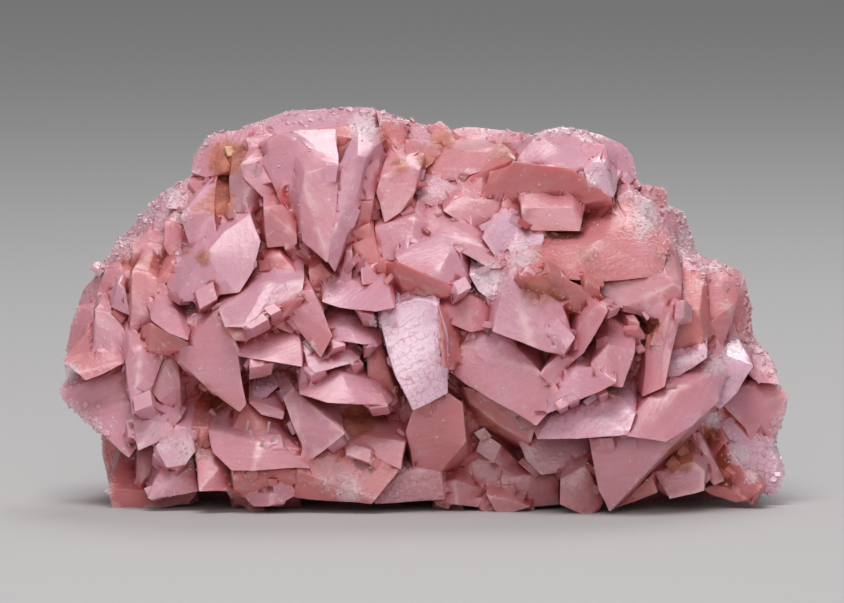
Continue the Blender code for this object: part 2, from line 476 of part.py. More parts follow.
placed = 0
while placed < FILL_COUNT:
    column = chance.uniform(*FILL_COLUMNS)
    line = chance.uniform(*FILL_ROWS)
    angle = math.atan2(line - CORE_CENTRE[1], column - CORE_CENTRE[0])
    share = math.hypot(column - CORE_CENTRE[0], line - CORE_CENTRE[1]) / spoke_length(angle)
    if share > FILL_REACH:
        continue
    width = chance.uniform(*FILL_WIDTH)
    depth = face_depth(column, line) - chance.uniform(*FILL_PROUD)
    look = -INWARD + UP * chance.uniform(*FILL_UP) + RIGHT * chance.uniform(*FILL_ASIDE)
    spot = on_sheet(column, line, depth)
    corners = rhomb_corners(spot, look.normalized(), chance.uniform(0.0, math.tau), width,
                            width * chance.uniform(*FILL_LENGTH), FILL_DEPTH)
    hull_object("fill_%03d" % placed, corners, druse)
    placed += 1

cleavage = (INWARD + UP * CLEAVAGE_UP + RIGHT * CLEAVAGE_ASIDE).normalized()
for number, (centre, normal) in enumerate(core_faces):
    facing_back = normal.dot(INWARD)
    if centre.z < CLOTHED_FROM or facing_back < CLOTHED_FACING:
        continue
    if facing_back > BACK_NORMAL:
        if chance.random() > BACK_SHARE:
            continue
        width = chance.uniform(*BACK_WIDTH)
        spot = centre + normal * chance.uniform(*BACK_PROUD)
        scatter = [chance.uniform(-CLEAVAGE_SCATTER, CLEAVAGE_SCATTER) for axis in range(3)]
        look = (cleavage + Vector(scatter)).normalized()
        spin = chance.choice(CLEAVAGE_SPINS) + chance.uniform(-CLEAVAGE_SCATTER, CLEAVAGE_SCATTER)
    else:
        if chance.random() > FLANK_SHARE:
            continue
        width = chance.uniform(*FLANK_WIDTH)
        spot = centre + normal * chance.uniform(*FLANK_PROUD)
        tilt = Vector([chance.uniform(-1.0, 1.0) for axis in range(3)]) * math.tan(FLANK_TILT)
        look = (normal + tilt * FLANK_TILT_SHARE).normalized()
        spin = chance.uniform(0.0, math.tau)
    length = width * chance.uniform(*BLOCK_LENGTH)
    for attempt in range(SHRINK_TRIES):
        depth = width * BLOCK_DEPTH_SHARE + BLOCK_DEPTH_UNDER
        corners = rhomb_corners(spot, look, spin, width, length, depth)
        if inside_outline(corners):
            hull_object("flank_%03d" % number, corners, druse)
            break
        width *= SHRINK
        length *= SHRINK

union = specimen.modifiers.new("grown together", "BOOLEAN")
union.operation = "UNION"
union.operand_type = "COLLECTION"
union.collection = druse
union.solver = "MANIFOLD"

# ---------------------------------------------------------------- the flat foot
cutter_mesh = bpy.data.meshes.new("floor_cutter")
cutter_shape = bmesh.new()
bmesh.ops.create_cube(cutter_shape, size=2.0 * SLAB)
bmesh.ops.translate(cutter_shape, verts=cutter_shape.verts[:], vec=(0.0, 0.0, -SLAB))
cutter_shape.to_mesh(cutter_mesh)
cutter_shape.free()
cutter = bpy.data.objects.new("floor_cutter", cutter_mesh)
bpy.context.scene.collection.objects.link(cutter)

trim = specimen.modifiers.new("cut off flat", "BOOLEAN")
trim.operation = "DIFFERENCE"
trim.object = cutter
trim.solver = "MANIFOLD"

graph = bpy.context.evaluated_depsgraph_get()
grown = bpy.data.meshes.new_from_object(specimen.evaluated_get(graph))
specimen.modifiers.clear()

# only the one outer body stays: pockets closed in between crystals and chips cut loose are left out
solid = bmesh.new()
solid.from_mesh(grown)
bmesh.ops.triangulate(solid, faces=solid.faces[:])
waiting = set(solid.faces)
shells = []
while waiting:
    shell = {waiting.pop()}
    margin = list(shell)
    while margin:
        face = margin.pop()
        for edge in face.edges:
            for neighbour in edge.link_faces:
                if neighbour in waiting:
                    waiting.discard(neighbour)
                    shell.add(neighbour)
                    margin.append(neighbour)
    shells.append(shell)
outer = max(shells, key=len)
for shell in shells:
    if shell is not outer:
        bmesh.ops.delete(solid, geom=list(shell), context="FACES")
loose = [vertex for vertex in solid.verts if not vertex.link_faces]
bmesh.ops.delete(solid, geom=loose, context="VERTS")
solid.to_mesh(core_data)
solid.free()

for crystal in list(druse.objects):
    bpy.data.objects.remove(crystal)
bpy.data.objects.remove(cutter)

# ---------------------------------------------------------------- material
stone = bpy.data.materials.new("rhodochrosite")
stone.use_nodes = True
shader = stone.node_tree.nodes["Principled BSDF"]
shader.inputs["Base Color"].default_value = STONE_PINK
shader.inputs["Roughness"].default_value = STONE_ROUGHNESS
shader.inputs["Metallic"].default_value = 0.0
core_data.materials.clear()
core_data.materials.append(stone)
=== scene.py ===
"""Rhodochrosite specimen, dressed: the crystal mass with its rounded, bent and stepped crystals, the young
crystals in its gaps, the sugary druse on its edges, and a plain studio around it."""

import json
import math
import random

import bmesh
import bpy
import numpy as np
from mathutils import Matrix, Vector, noise
from mathutils.bvhtree import BVHTree

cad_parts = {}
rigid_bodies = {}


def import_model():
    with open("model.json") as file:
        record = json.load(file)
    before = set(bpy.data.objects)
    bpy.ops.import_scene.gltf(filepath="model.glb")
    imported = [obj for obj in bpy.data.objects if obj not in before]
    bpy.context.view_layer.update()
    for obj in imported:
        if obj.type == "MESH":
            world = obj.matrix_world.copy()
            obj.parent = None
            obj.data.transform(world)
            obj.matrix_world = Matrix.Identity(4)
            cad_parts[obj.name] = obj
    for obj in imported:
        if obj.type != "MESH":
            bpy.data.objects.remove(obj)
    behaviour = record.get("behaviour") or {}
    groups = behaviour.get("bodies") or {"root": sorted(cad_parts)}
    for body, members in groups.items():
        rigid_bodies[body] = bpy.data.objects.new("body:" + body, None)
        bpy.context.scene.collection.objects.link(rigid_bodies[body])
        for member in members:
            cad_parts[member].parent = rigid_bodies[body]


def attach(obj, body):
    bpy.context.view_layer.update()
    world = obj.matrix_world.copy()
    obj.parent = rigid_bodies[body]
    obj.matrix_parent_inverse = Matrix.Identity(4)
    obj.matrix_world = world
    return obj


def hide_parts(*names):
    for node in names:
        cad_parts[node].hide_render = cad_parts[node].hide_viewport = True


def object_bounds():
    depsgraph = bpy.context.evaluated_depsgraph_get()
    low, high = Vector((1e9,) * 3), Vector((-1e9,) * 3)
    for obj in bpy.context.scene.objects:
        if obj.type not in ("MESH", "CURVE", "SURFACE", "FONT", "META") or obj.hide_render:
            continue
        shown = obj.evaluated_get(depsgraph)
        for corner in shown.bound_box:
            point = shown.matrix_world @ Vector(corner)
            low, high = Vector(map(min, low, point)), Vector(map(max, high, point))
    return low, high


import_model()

cad_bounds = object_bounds()

# ---------------------------------------------------------------- the crystal mass
# One intergrowth of rhodochrosite, a manganese carbonate: slightly bent rhomb-faced crystals and stepped
# plates that grew outwards from a massive core. Its back is broken, and it is cut off flat underneath.
MM = 0.001
SHEET_STEP = 0.125 * MM          # the crystals are laid out on a sheet ruled in eighths of a millimetre
SHEET_MIDDLE = 424.0
SHEET_FLOOR = 499.0
SHEET_SETBACK = -0.6 * MM
SHEET_TILT = math.radians(5.0)
RIM_DEPTH = 2.0 * MM
DOME_DEPTH = 19.0 * MM
DOME_REACH = 150.0
DOME_POWER = 0.7
BACK_DEPTH = 15.0 * MM
CORE_GAP = 2.6 * MM
CORE_FILL = 1.6 * MM
CORE_INSET = 0.955
CORE_SPOKES = 36
CORE_RINGS = 5
CORE_CENTRE = (424.0, 360.0)
CORE_ROUGH = 0.9 * MM
FOOT_TOP = 450.0
FOOT_BACK = 12.0 * MM
DEPTH_UNDER = 4.0 * MM
DEPTH_SHARE = 0.35
ROOT_TAPER = 0.95
ROOT_SHARE = 0.93
UNDERCUT = 0.42                  # how far a crystal leans back from its outer edge, per depth
UPWARD_BIAS = 0.30
SHOULDER = 0.25                  # how far a crystal spreads upwards into the joint above it, per depth
SIDE_FLARE = 1.15
RHOMB_ANGLE = math.radians(102.8)
SLAB = 60.0 * MM

FRONT_RELIEF = (
    (600, 345, 120, 95, 3.5),
    (410, 350, 60, 70, 1.0),
    (110, 400, 60, 60, 1.5),
    (505, 462, 85, 42, -6.5),
    (212, 402, 34, 26, -5.0),
    (268, 375, 26, 15, -4.0),
    (375, 422, 32, 14, -4.0),
    (680, 455, 22, 16, -4.0),
    (378, 213, 9, 14, -3.0),
    (210, 306, 34, 12, -1.5),
    (352, 352, 22, 9, -2.0),
    (560, 203, 26, 7, -2.0),
    (610, 325, 28, 22, -2.5),
)

OUTLINE = (
    (112, 600), (109, 485), (102, 455), (102, 430), (84, 415), (62, 398), (60, 391), (64, 374),
    (62, 358), (71, 339), (72, 317), (81, 297), (91, 281), (98, 268), (107, 255), (117, 242),
    (135, 234), (142, 216), (155, 198), (166, 187), (191, 175), (191, 164), (199, 149), (212, 134),
    (250, 123), (270, 117), (284, 111), (312, 116), (335, 112), (357, 106), (375, 108), (378, 113),
    (408, 120), (426, 125), (440, 121), (450, 130), (466, 126), (482, 133), (533, 134), (560, 127),
    (603, 136), (622, 144), (632, 155), (637, 179), (650, 184), (663, 189), (667, 207), (684, 213),
    (694, 250), (702, 270), (724, 265), (740, 271), (745, 292), (751, 320), (750, 345), (773, 362),
    (779, 385), (788, 394), (785, 410), (768, 450), (782, 470), (779, 485), (762, 600),
)

CRYSTALS = (
    # smooth rounded knob and saddle on the upper left shoulder
    ("m", 0.6, 28, -22, (191, 173, 193, 156, 204, 141, 213, 134, 229, 132, 262, 126, 264, 160, 235, 173,
     205, 178)),
    ("m", 1.2, 34, -8, (187, 180, 210, 175, 232, 176, 232, 192, 228, 213, 200, 209, 166, 208, 172, 193)),
    ("d", 0.3, 26, -36, (135, 234, 142, 216, 155, 198, 179, 183, 187, 181, 166, 208, 172, 222, 150, 245,
     118, 243)),
    ("d", 0.6, 30, -25, (98, 268, 107, 255, 117, 242, 150, 242, 160, 262, 132, 271, 106, 271)),
    # plates under the shoulder
    ("l", 2.0, 14, 0, (181, 217, 215, 212, 219, 249, 193, 250)),
    ("m", 0.8, 8, -6, (216, 214, 232, 211, 244, 222, 222, 250, 217, 248)),
    ("l", 3.2, 22, -10, (250, 214, 262, 242, 255, 268, 240, 292, 208, 296, 176, 303, 190, 276, 205, 256,
     224, 234)),
    ("g", 1.6, 2, 4, (230, 178, 262, 165, 276, 194, 262, 208, 250, 214, 231, 213)),
    ("l", 2.2, 24, 16, (240, 165, 262, 162, 277, 192, 264, 198, 246, 180)),
    ("m", 1.4, 6, 4, (264, 209, 283, 205, 297, 222, 298, 244, 268, 248)),
    ("r", 0.5, 10, -10, (264, 257, 282, 253, 306, 286, 290, 298, 268, 284)),
    ("r", 0.4, -6, 10, (283, 200, 302, 243, 298, 226, 290, 214, 278, 196)),
    # broad smooth faces along the top
    ("l", 0.5, 42, -4, (242, 127, 284, 112, 330, 115, 357, 107, 376, 109, 374, 146, 336, 148, 300, 136,
     262, 138)),
    ("r", 1.0, 24, 6, (300, 137, 340, 142, 374, 138, 380, 168, 366, 170, 345, 160, 318, 166)),
    ("m", 1.0, 14, -18, (246, 138, 268, 138, 282, 168, 268, 178, 262, 163, 250, 150)),
    ("l", 2.6, 12, -16, (268, 142, 282, 135, 298, 139, 320, 166, 312, 204, 303, 243, 289, 214, 272, 182)),
    ("l", 3.8, 12, -12, (306, 174, 340, 165, 336, 215, 329, 264, 316, 252, 303, 243, 300, 200)),
    ("l", 3.9, 12, 20, (340, 165, 358, 155, 366, 158, 360, 186, 347, 236, 335, 272, 329, 262, 333, 215)),
    ("l", 2.2, 18, 18, (366, 168, 378, 184, 374, 201, 357, 201, 361, 184)),
    ("r", 0.6, -4, 22, (352, 204, 372, 203, 370, 222, 353, 240, 344, 262, 347, 232)),
    # blades and columns right of the top
    ("m", 2.5, 14, 12, (381, 178, 403, 167, 420, 171, 414, 195, 401, 213, 384, 224, 376, 194)),
    ("t", 1.4, 22, 6, (379, 120, 405, 122, 406, 166, 382, 172)),
    ("t", 1.6, 20, 18, (405, 140, 434, 163, 418, 176, 405, 168)),
    ("d", 0.5, 40, 4, (376, 110, 408, 120, 426, 125, 432, 152, 405, 150, 380, 132)),
    ("t", 0.5, 38, 4, (426, 127, 440, 121, 450, 130, 458, 152, 432, 152)),
    ("m", 1.6, 6, -14, (346, 250, 353, 252, 352, 280, 345, 288, 341, 275)),
    ("l", 1.9, 24, 6, (360, 270, 370, 270, 377, 283, 362, 286)),
    ("m", 1.4, 16, 4, (375, 227, 415, 217, 432, 228, 426, 250, 400, 262, 378, 260)),
    ("r", 0.5, 4, -6, (352, 230, 374, 226, 380, 262, 372, 290, 352, 262)),
    ("r", 0.7, 2, 10, (378, 262, 396, 262, 398, 292, 386, 292, 374, 284)),
    # long slabs across the top right
    ("t", 0.3, 42, 2, (450, 130, 466, 126, 482, 133, 534, 134, 538, 140, 514, 160, 500, 150, 470, 156, 438,
     162)),
    ("t", 2.4, 32, -6, (422, 182, 428, 168, 470, 153, 506, 147, 516, 160, 490, 168, 460, 180, 440, 184)),
    ("r", 1.6, -12, -16, (463, 190, 466, 179, 514, 160, 498, 178, 481, 196, 463, 196)),
    ("l", 3.8, 38, 4, (514, 162, 536, 134, 562, 127, 586, 131, 602, 160, 613, 199, 588, 186, 568, 169)),
    ("r", 4.4, -28, -4, (481, 196, 514, 162, 568, 168, 590, 186, 612, 200, 556, 208, 500, 204)),
    ("s", 4.6, 34, 26, (583, 172, 592, 162, 602, 163, 613, 197, 604, 198, 590, 192)),
    ("l", 1.2, 26, 22, (584, 131, 603, 136, 622, 144, 633, 155, 637, 179, 613, 187, 602, 160)),
    ("m", 1.0, 14, 10, (613, 186, 637, 180, 642, 186, 628, 193, 614, 201)),
    ("m", 0.6, 14, 22, (641, 185, 663, 189, 667, 207, 663, 220, 640, 201)),
    ("d", 2.0, 20, 14, (614, 201, 630, 190, 643, 202, 663, 220, 673, 242, 682, 268, 650, 271, 620, 262,
     598, 250)),
    ("d", 0.7, 14, 38, (667, 207, 684, 213, 694, 247, 702, 272, 682, 276, 672, 242, 663, 219)),
    ("r", 0.4, -8, -8, (574, 206, 614, 202, 600, 236, 590, 226, 581, 215)),
    ("m", 2.3, 4, 0, (520, 209, 572, 208, 581, 220, 579, 231, 552, 232, 531, 231, 522, 222)),
    ("r", 0.6, -12, 6, (500, 204, 520, 208, 529, 226, 524, 239, 510, 221, 502, 214)),
    ("m", 1.9, 6, 2, (463, 197, 499, 201, 503, 214, 481, 236, 470, 228, 443, 211, 450, 203)),
    ("s", 2.6, 16, 16, (481, 238, 500, 219, 508, 218, 524, 240, 506, 251, 494, 257)),
    ("s", 2.4, 30, 6, (508, 250, 524, 241, 542, 240, 536, 262, 518, 268, 511, 263)),
    ("d", 0.6, 12, -4, (424, 185, 462, 191, 464, 197, 443, 210, 426, 216, 416, 200)),
    ("m", 2.8, 30, -8, (424, 216, 440, 210, 470, 226, 506, 256, 513, 269, 490, 269, 462, 254, 450, 238,
     424, 231)),
    # left flank
    ("d", 0.3, 8, -44, (96, 275, 106, 271, 98, 310, 76, 312, 82, 291)),
    ("m", 1.3, 6, -14, (106, 270, 132, 270, 133, 326, 110, 316, 95, 310, 100, 285)),
    ("l", 2.3, 4, -26, (119, 283, 126, 289, 131, 316, 121, 312, 112, 308)),
    ("m", 1.6, 6, -4, (133, 270, 150, 271, 168, 285, 176, 300, 160, 315, 152, 323, 151, 344, 133, 338)),
    ("m", 1.0, 18, -8, (132, 243, 160, 243, 176, 256, 160, 276, 133, 271)),
    ("m", 1.1, 4, 8, (166, 222, 180, 222, 193, 250, 191, 264, 178, 264, 165, 248)),
    ("r", 0.9, -8, 4, (158, 281, 174, 262, 183, 284, 176, 301, 164, 296)),
    ("l", 3.4, 42, -6, (152, 320, 165, 309, 180, 318, 191, 341, 170, 333)),
    ("r", 2.2, -22, -4, (152, 322, 190, 342, 186, 351, 150, 350)),
    ("m", 2.2, 10, -6, (95, 310, 112, 313, 134, 340, 121, 353, 96, 357)),
    ("m", 0.9, 6, -38, (70, 325, 78, 307, 96, 310, 95, 354, 66, 352)),
    ("m", 3.0, 26, -8, (62, 358, 96, 357, 115, 350, 133, 343, 146, 348, 126, 363, 104, 375, 88, 381, 70,
     365)),
    ("s", 2.6, 10, -32, (65, 362, 72, 364, 87, 380, 79, 387, 67, 380)),
    ("m", 4.0, 15, -10, (60, 391, 90, 380, 128, 366, 150, 395, 141, 440, 131, 457, 100, 428, 64, 400)),
    ("l", 3.6, 15, -4, (130, 345, 168, 350, 153, 390, 134, 416, 127, 364)),
    ("l", 4.5, 12, 2, (133, 416, 152, 393, 160, 398, 183, 417, 177, 425, 156, 444, 140, 451)),
    ("m", 1.9, 0, 6, (168, 352, 180, 360, 182, 380, 177, 400, 181, 412, 160, 400, 152, 390)),
    ("m", 2.7, 4, -16, (186, 343, 222, 309, 237, 341, 247, 403, 240, 412, 214, 380, 180, 362)),
    ("d", 1.2, 10, -4, (190, 319, 223, 302, 224, 311, 188, 344, 176, 331)),
    # ledges left of the middle
    ("l", 4.4, 34, -10, (220, 311, 262, 284, 304, 283, 301, 297, 243, 327, 226, 327)),
    ("r", 4.1, -26, 8, (226, 326, 243, 326, 301, 297, 285, 316, 248, 341, 236, 340)),
    ("m", 3.3, 4, -16, (298, 294, 313, 290, 326, 315, 333, 336, 322, 358, 308, 341, 290, 317)),
    ("r", 0.8, 4, 6, (308, 272, 322, 262, 340, 286, 322, 300, 311, 290)),
    ("l", 4.0, 40, -4, (236, 354, 264, 330, 300, 332, 304, 367, 270, 361, 250, 358)),
    ("m", 2.4, 20, 12, (270, 318, 285, 312, 301, 326, 293, 334, 275, 327)),
    ("l", 3.9, 38, 4, (302, 345, 325, 350, 350, 348, 361, 358, 350, 364, 316, 373, 309, 366)),
    ("l", 3.2, 44, 0, (322, 302, 325, 290, 345, 283, 372, 284, 390, 290, 395, 308, 375, 312, 340, 308)),
    ("l", 3.1, 40, 2, (324, 320, 345, 314, 378, 318, 383, 344, 360, 344, 332, 339)),
    ("r", 1.1, -6, 6, (367, 345, 382, 344, 398, 400, 391, 406, 368, 386)),
    ("m", 4.0, 28, 2, (298, 370, 340, 370, 368, 379, 392, 400, 388, 405, 328, 402, 300, 394)),
    ("s", 1.2, 40, 4, (251, 396, 258, 387, 280, 385, 267, 397, 252, 401)),
    # the bright mosaic crystal in the middle and its shaded lower half
    ("S", 5.0, 12, -8, (380, 322, 384, 308, 420, 299, 438, 304, 447, 335, 443, 365, 448, 393, 413, 411,
     397, 378)),
    ("r", 4.1, -18, 0, (413, 410, 448, 392, 462, 402, 466, 440, 441, 469, 415, 469, 406, 430)),
    ("r", 3.4, 4, 48, (437, 304, 459, 330, 452, 370, 444, 366, 447, 335)),
    ("m", 2.8, 20, 6, (437, 300, 441, 285, 462, 290, 481, 299, 494, 312, 490, 329, 470, 333, 451, 325)),
    ("m", 1.2, 0, 6, (450, 326, 490, 329, 496, 336, 461, 346, 447, 352)),
    ("l", 4.2, 36, 8, (395, 257, 419, 244, 441, 236, 454, 247, 472, 284, 460, 292, 441, 284, 400, 266)),
    ("r", 3.9, -26, -6, (396, 260, 441, 283, 460, 291, 437, 299, 403, 291)),
    ("s", 2.2, 12, 10, (469, 274, 505, 269, 504, 286, 493, 302, 478, 291)),
    ("l", 4.7, 8, -6, (508, 271, 516, 268, 560, 305, 569, 325, 566, 354, 545, 351, 491, 332, 497, 305)),
    ("l", 3.5, 15, -8, (442, 364, 460, 343, 491, 330, 520, 350, 536, 370, 562, 395, 536, 425, 490, 399,
     465, 384)),
    ("m", 3.1, 2, 16, (538, 373, 560, 350, 573, 358, 561, 385, 550, 386)),
    # the forward swelling right of the middle
    ("t", 4.0, 42, 2, (515, 263, 540, 250, 600, 240, 640, 266, 660, 276, 600, 282, 560, 276, 518, 276)),
    ("m", 5.5, 6, 4, (598, 266, 640, 270, 665, 276, 681, 290, 677, 309, 650, 319, 620, 309, 601, 297, 590,
     281)),
    ("k", 3.9, -36, -4, (517, 275, 560, 277, 602, 296, 601, 311, 575, 313, 545, 301)),
    ("m", 4.6, 2, -30, (598, 304, 607, 310, 583, 353, 567, 366, 565, 345, 583, 318)),
    ("m", 4.6, 6, 4, (605, 345, 633, 350, 622, 387, 600, 384, 589, 365)),
    ("r", 3.2, 16, -8, (594, 333, 613, 330, 610, 346, 596, 354)),
    ("m", 4.0, 2, -24, (627, 320, 638, 322, 641, 353, 632, 351)),
    ("l", 5.0, 26, -4, (575, 367, 592, 367, 615, 383, 600, 390, 562, 402, 545, 413, 562, 386)),
    ("m", 3.0, 14, 4, (664, 275, 702, 271, 702, 302, 680, 309, 677, 290)),
    ("m", 3.5, 10, 14, (698, 274, 724, 265, 737, 273, 736, 300, 723, 330, 716, 363, 705, 361, 700, 330)),
    ("r", 2.1, -10, 2, (679, 308, 698, 310, 703, 350, 690, 359, 670, 358, 667, 345)),
    ("m", 4.2, 2, -12, (671, 303, 681, 306, 667, 355, 663, 386, 640, 396, 648, 345, 660, 330)),
    # right shoulder and corner blocks
    ("m", 0.5, 6, 32, (735, 301, 745, 276, 751, 305, 751, 346, 735, 339, 722, 330)),
    ("m", 1.2, 22, 26, (723, 265, 740, 270, 746, 292, 736, 302, 732, 285)),
    ("m", 1.9, 34, 8, (720, 330, 735, 337, 752, 349, 773, 362, 779, 385, 757, 382, 735, 359, 718, 353)),
    ("s", 3.5, 20, 10, (712, 354, 727, 355, 752, 366, 736, 392, 719, 409, 700, 396, 705, 375)),
    ("s", 4.2, 30, -8, (667, 360, 692, 360, 705, 349, 704, 358, 690, 367, 664, 384)),
    ("m", 1.8, 12, 22, (738, 385, 760, 382, 780, 385, 788, 394, 785, 411, 773, 443, 768, 452, 750, 433,
     722, 406)),
    # lower left corner
    ("r", 0.9, 0, -34, (102, 430, 118, 444, 119, 470, 110, 486, 102, 455)),
    ("g", 2.5, 20, -8, (116, 468, 135, 455, 150, 460, 150, 478, 136, 491, 114, 490, 109, 480)),
    ("m", 1.6, 0, 4, (138, 448, 166, 445, 160, 480, 148, 497, 137, 490)),
    ("l", 3.2, 14, 2, (163, 467, 194, 455, 196, 477, 199, 490, 150, 498, 155, 484)),
    ("l", 2.7, 10, 4, (156, 446, 177, 427, 192, 428, 198, 450, 187, 464, 168, 467)),
    ("r", 2.0, -14, 0, (109, 489, 150, 492, 200, 489, 195, 497, 175, 505, 150, 509, 130, 513, 114, 510)),
    ("r", 1.0, -6, 0, (193, 427, 210, 427, 210, 447, 194, 447)),
    ("m", 1.9, 22, 2, (197, 448, 214, 448, 233, 463, 241, 476, 238, 491, 200, 490)),
    # ledges of the lower middle
    ("l", 3.4, 40, -2, (209, 430, 232, 427, 262, 436, 288, 436, 312, 468, 233, 470, 214, 452)),
    ("r", 2.8, -20, 0, (233, 468, 297, 468, 297, 483, 250, 485, 236, 489)),
    ("r", 1.0, 14, 8, (246, 402, 286, 414, 300, 455, 288, 440, 262, 438, 232, 430)),
    ("m", 2.3, 2, -2, (239, 488, 262, 480, 293, 481, 298, 494, 270, 505, 254, 505)),
    ("l", 3.3, 20, -16, (284, 397, 293, 386, 306, 398, 346, 433, 312, 438, 309, 460)),
    ("m", 3.3, 30, 4, (311, 436, 355, 433, 406, 441, 401, 468, 343, 446)),
    ("r", 3.2, -10, -4, (306, 440, 343, 444, 401, 467, 381, 480, 373, 503, 345, 501, 320, 496, 296, 497,
     297, 470)),
    ("m", 2.0, 36, 8, (249, 402, 262, 401, 286, 411, 285, 419, 262, 414)),
    ("d", 1.8, 0, 2, (380, 480, 415, 467, 441, 470, 446, 499, 400, 497, 375, 503)),
    # shaded blocks under the overhang
    ("g", 3.4, 10, -10, (442, 467, 465, 443, 482, 440, 502, 445, 532, 480, 520, 507, 500, 501, 455, 480)),
    ("g", 1.9, 0, 0, (420, 480, 455, 478, 490, 492, 501, 509, 480, 499, 455, 504, 428, 498)),
    ("g", 2.2, -8, 0, (486, 494, 520, 502, 530, 506, 508, 513, 495, 511)),
    ("g", 2.6, 10, 2, (518, 440, 535, 437, 592, 439, 594, 462, 575, 471, 540, 475, 525, 460)),
    ("g", 2.2, -4, 2, (500, 478, 530, 474, 559, 474, 559, 504, 525, 507, 505, 501)),
    ("g", 2.8, 2, 6, (559, 478, 586, 463, 602, 502, 590, 515, 580, 513, 559, 503)),
    ("k", 1.0, -24, -8, (463, 386, 486, 391, 536, 425, 531, 441, 500, 426, 470, 403)),
    # bright lens and big wedge of the lower right
    ("w", 5.0, 30, -4, (536, 439, 550, 415, 572, 405, 594, 396, 621, 397, 634, 412, 625, 435, 572, 433)),
    ("l", 4.6, 24, 8, (624, 436, 632, 412, 650, 392, 668, 384, 700, 385, 717, 400, 690, 426, 664, 442)),
    ("m", 4.4, -12, 8, (588, 437, 664, 441, 691, 424, 655, 461, 608, 511, 597, 490)),
    ("m", 1.7, 10, 2, (652, 472, 672, 470, 692, 460, 703, 470, 703, 489, 668, 498, 660, 481)),
    ("m", 2.3, 10, -14, (687, 430, 698, 431, 723, 480, 712, 485, 700, 471)),
    ("s", 4.6, 26, 16, (703, 415, 722, 407, 745, 423, 770, 449, 784, 470, 780, 487, 768, 497, 758, 490,
     730, 456)),
    ("r", 1.5, 0, -30, (700, 425, 715, 431, 759, 490, 745, 501, 722, 498, 714, 480)),
    ("r", 1.2, -10, 0, (700, 488, 715, 483, 747, 498, 735, 502, 710, 494)),
    ("k", 0.6, -6, 4, (612, 508, 650, 474, 656, 492, 640, 497)),
    ("g", -1.2, 0, 0, (560, 268, 592, 266, 596, 296, 564, 300)),
)

# each crystal's finish and painted shade: salmon tint (high on crystals that lie in shade, 'r' and 'k', low
# on lit ones, 'l', so partly painted shade), pearly glitter, drusy grain, greyness (painted shade on the dim
# blocks, 'g')
FINISHES_AND_SHADES = {
    "l": (0.10, 0.10, 0.00, 0.00),
    "m": (0.45, 0.05, 0.05, 0.00),
    "r": (0.95, 0.00, 0.00, 0.00),
    "t": (0.70, 0.05, 0.20, 0.00),
    "k": (1.00, 0.00, 0.05, 0.20),
    "g": (0.35, 0.05, 0.10, 0.60),
    "d": (0.40, 0.25, 1.00, 0.15),
    "s": (0.05, 0.75, 0.10, 0.00),
    "w": (0.00, 0.45, 0.00, 0.00),
    "S": (0.00, 1.00, 0.00, 0.00),
}
PLAIN = "Sw"                     # finish-and-shade letters of the crystals that stay unfolded and alone

FILL_SEED = 11
FILL_COUNT = 48
FILL_REACH = 0.93
FILL_WIDTH = (2.6 * MM, 4.6 * MM)
FILL_PROUD = (-0.4 * MM, 0.9 * MM)
FILL_DEPTH = 4.5 * MM
FILL_SINK = 4.0 * MM
FLANK_SHARE = 0.46
FLANK_WIDTH = (4.0 * MM, 8.5 * MM)
FLANK_PROUD = (0.8 * MM, 2.6 * MM)
FLANK_TILT = math.radians(34.0)
BACK_SHARE = 0.2
BACK_WIDTH = (7.0 * MM, 16.0 * MM)
BACK_PROUD = (-0.5 * MM, 2.8 * MM)
OUTLINE_SHARE = 0.99
SHRINK = 0.8
SHRINK_TRIES = 4
BACK_NORMAL = 0.62
BACK_STEPS = 70
BACK_STEP_PROUD = (0.3, 2.4)     # in millimetres
BACK_STEP_WIDTH = (2.5, 7.0)

OPEN_DEPTH = 1.6 * MM            # crystals are cut fine no deeper than this, the rest is inside the mass
BENT_CUT = 1.8 * MM
CUT_TURNS = 6
FINE_CUT = 1.38 * MM             # longest edge left on a front crystal before it is bent and roughened
COARSE_CUT = 3.0 * MM            # the same on the flanks and the back
EDGE_ROUND = 0.10 * MM
SMALL_ROUND = 0.05 * MM
BEND = 0.085                     # a crystal's saddle, as a share of its width
WAVE = 0.20 * MM                 # slow waviness of the faces
WAVE_LENGTH = 4.5 * MM
CHIP = 0.05 * MM                 # fine unevenness of faces and edges
CHIP_LENGTH = 0.8 * MM
FOLD = (0.10, 0.32)              # how far a growth fold bends a face, least and most
STEP_SEED = 5
NOISE_SEED = 3                   # noise vectors follow the clock unless they are given a seed

PARALLEL_COUNT = (0.8, 3.2)      # growths that step over a crystal's border, before rounding
PARALLEL_FROM = 3.0 * MM         # narrower crystals have none
PARALLEL_IN = (0.08, 0.34)       # how far in from the border, as a share of the way to the middle
PARALLEL_SINK = (0.12, 0.76)     # how far under the crystal's face, in millimetres
PARALLEL_WIDTH = (0.22, 0.5)     # as a share of the crystal's width
PARALLEL_DEPTH = 2.6 * MM
JOINT_COUNT = (-0.2, 1.4)        # small crystals in the joint around one, before rounding
JOINT_FROM = 2.4 * MM
JOINT_IN = (-0.20, 0.05)
JOINT_SINK = (0.9, 2.2)          # how far under the mean surface, in millimetres
JOINT_WIDTH = (1.6, 3.6)         # in millimetres
JOINT_SHARE = 0.6                # and at most this share of the crystal's width
JOINT_DEPTH = 3.2 * MM
BLOCK_SHAPE = (0.6, 1.25)        # a block's length over its width
FOLDED_FROM = 3.4 * MM

RIGHT = Vector((1.0, 0.0, 0.0))
UP = Vector((0.0, math.sin(SHEET_TILT), math.cos(SHEET_TILT)))
INWARD = Vector((0.0, math.cos(SHEET_TILT), -math.sin(SHEET_TILT)))
SETBACK = Vector((0.0, SHEET_SETBACK, 0.0))


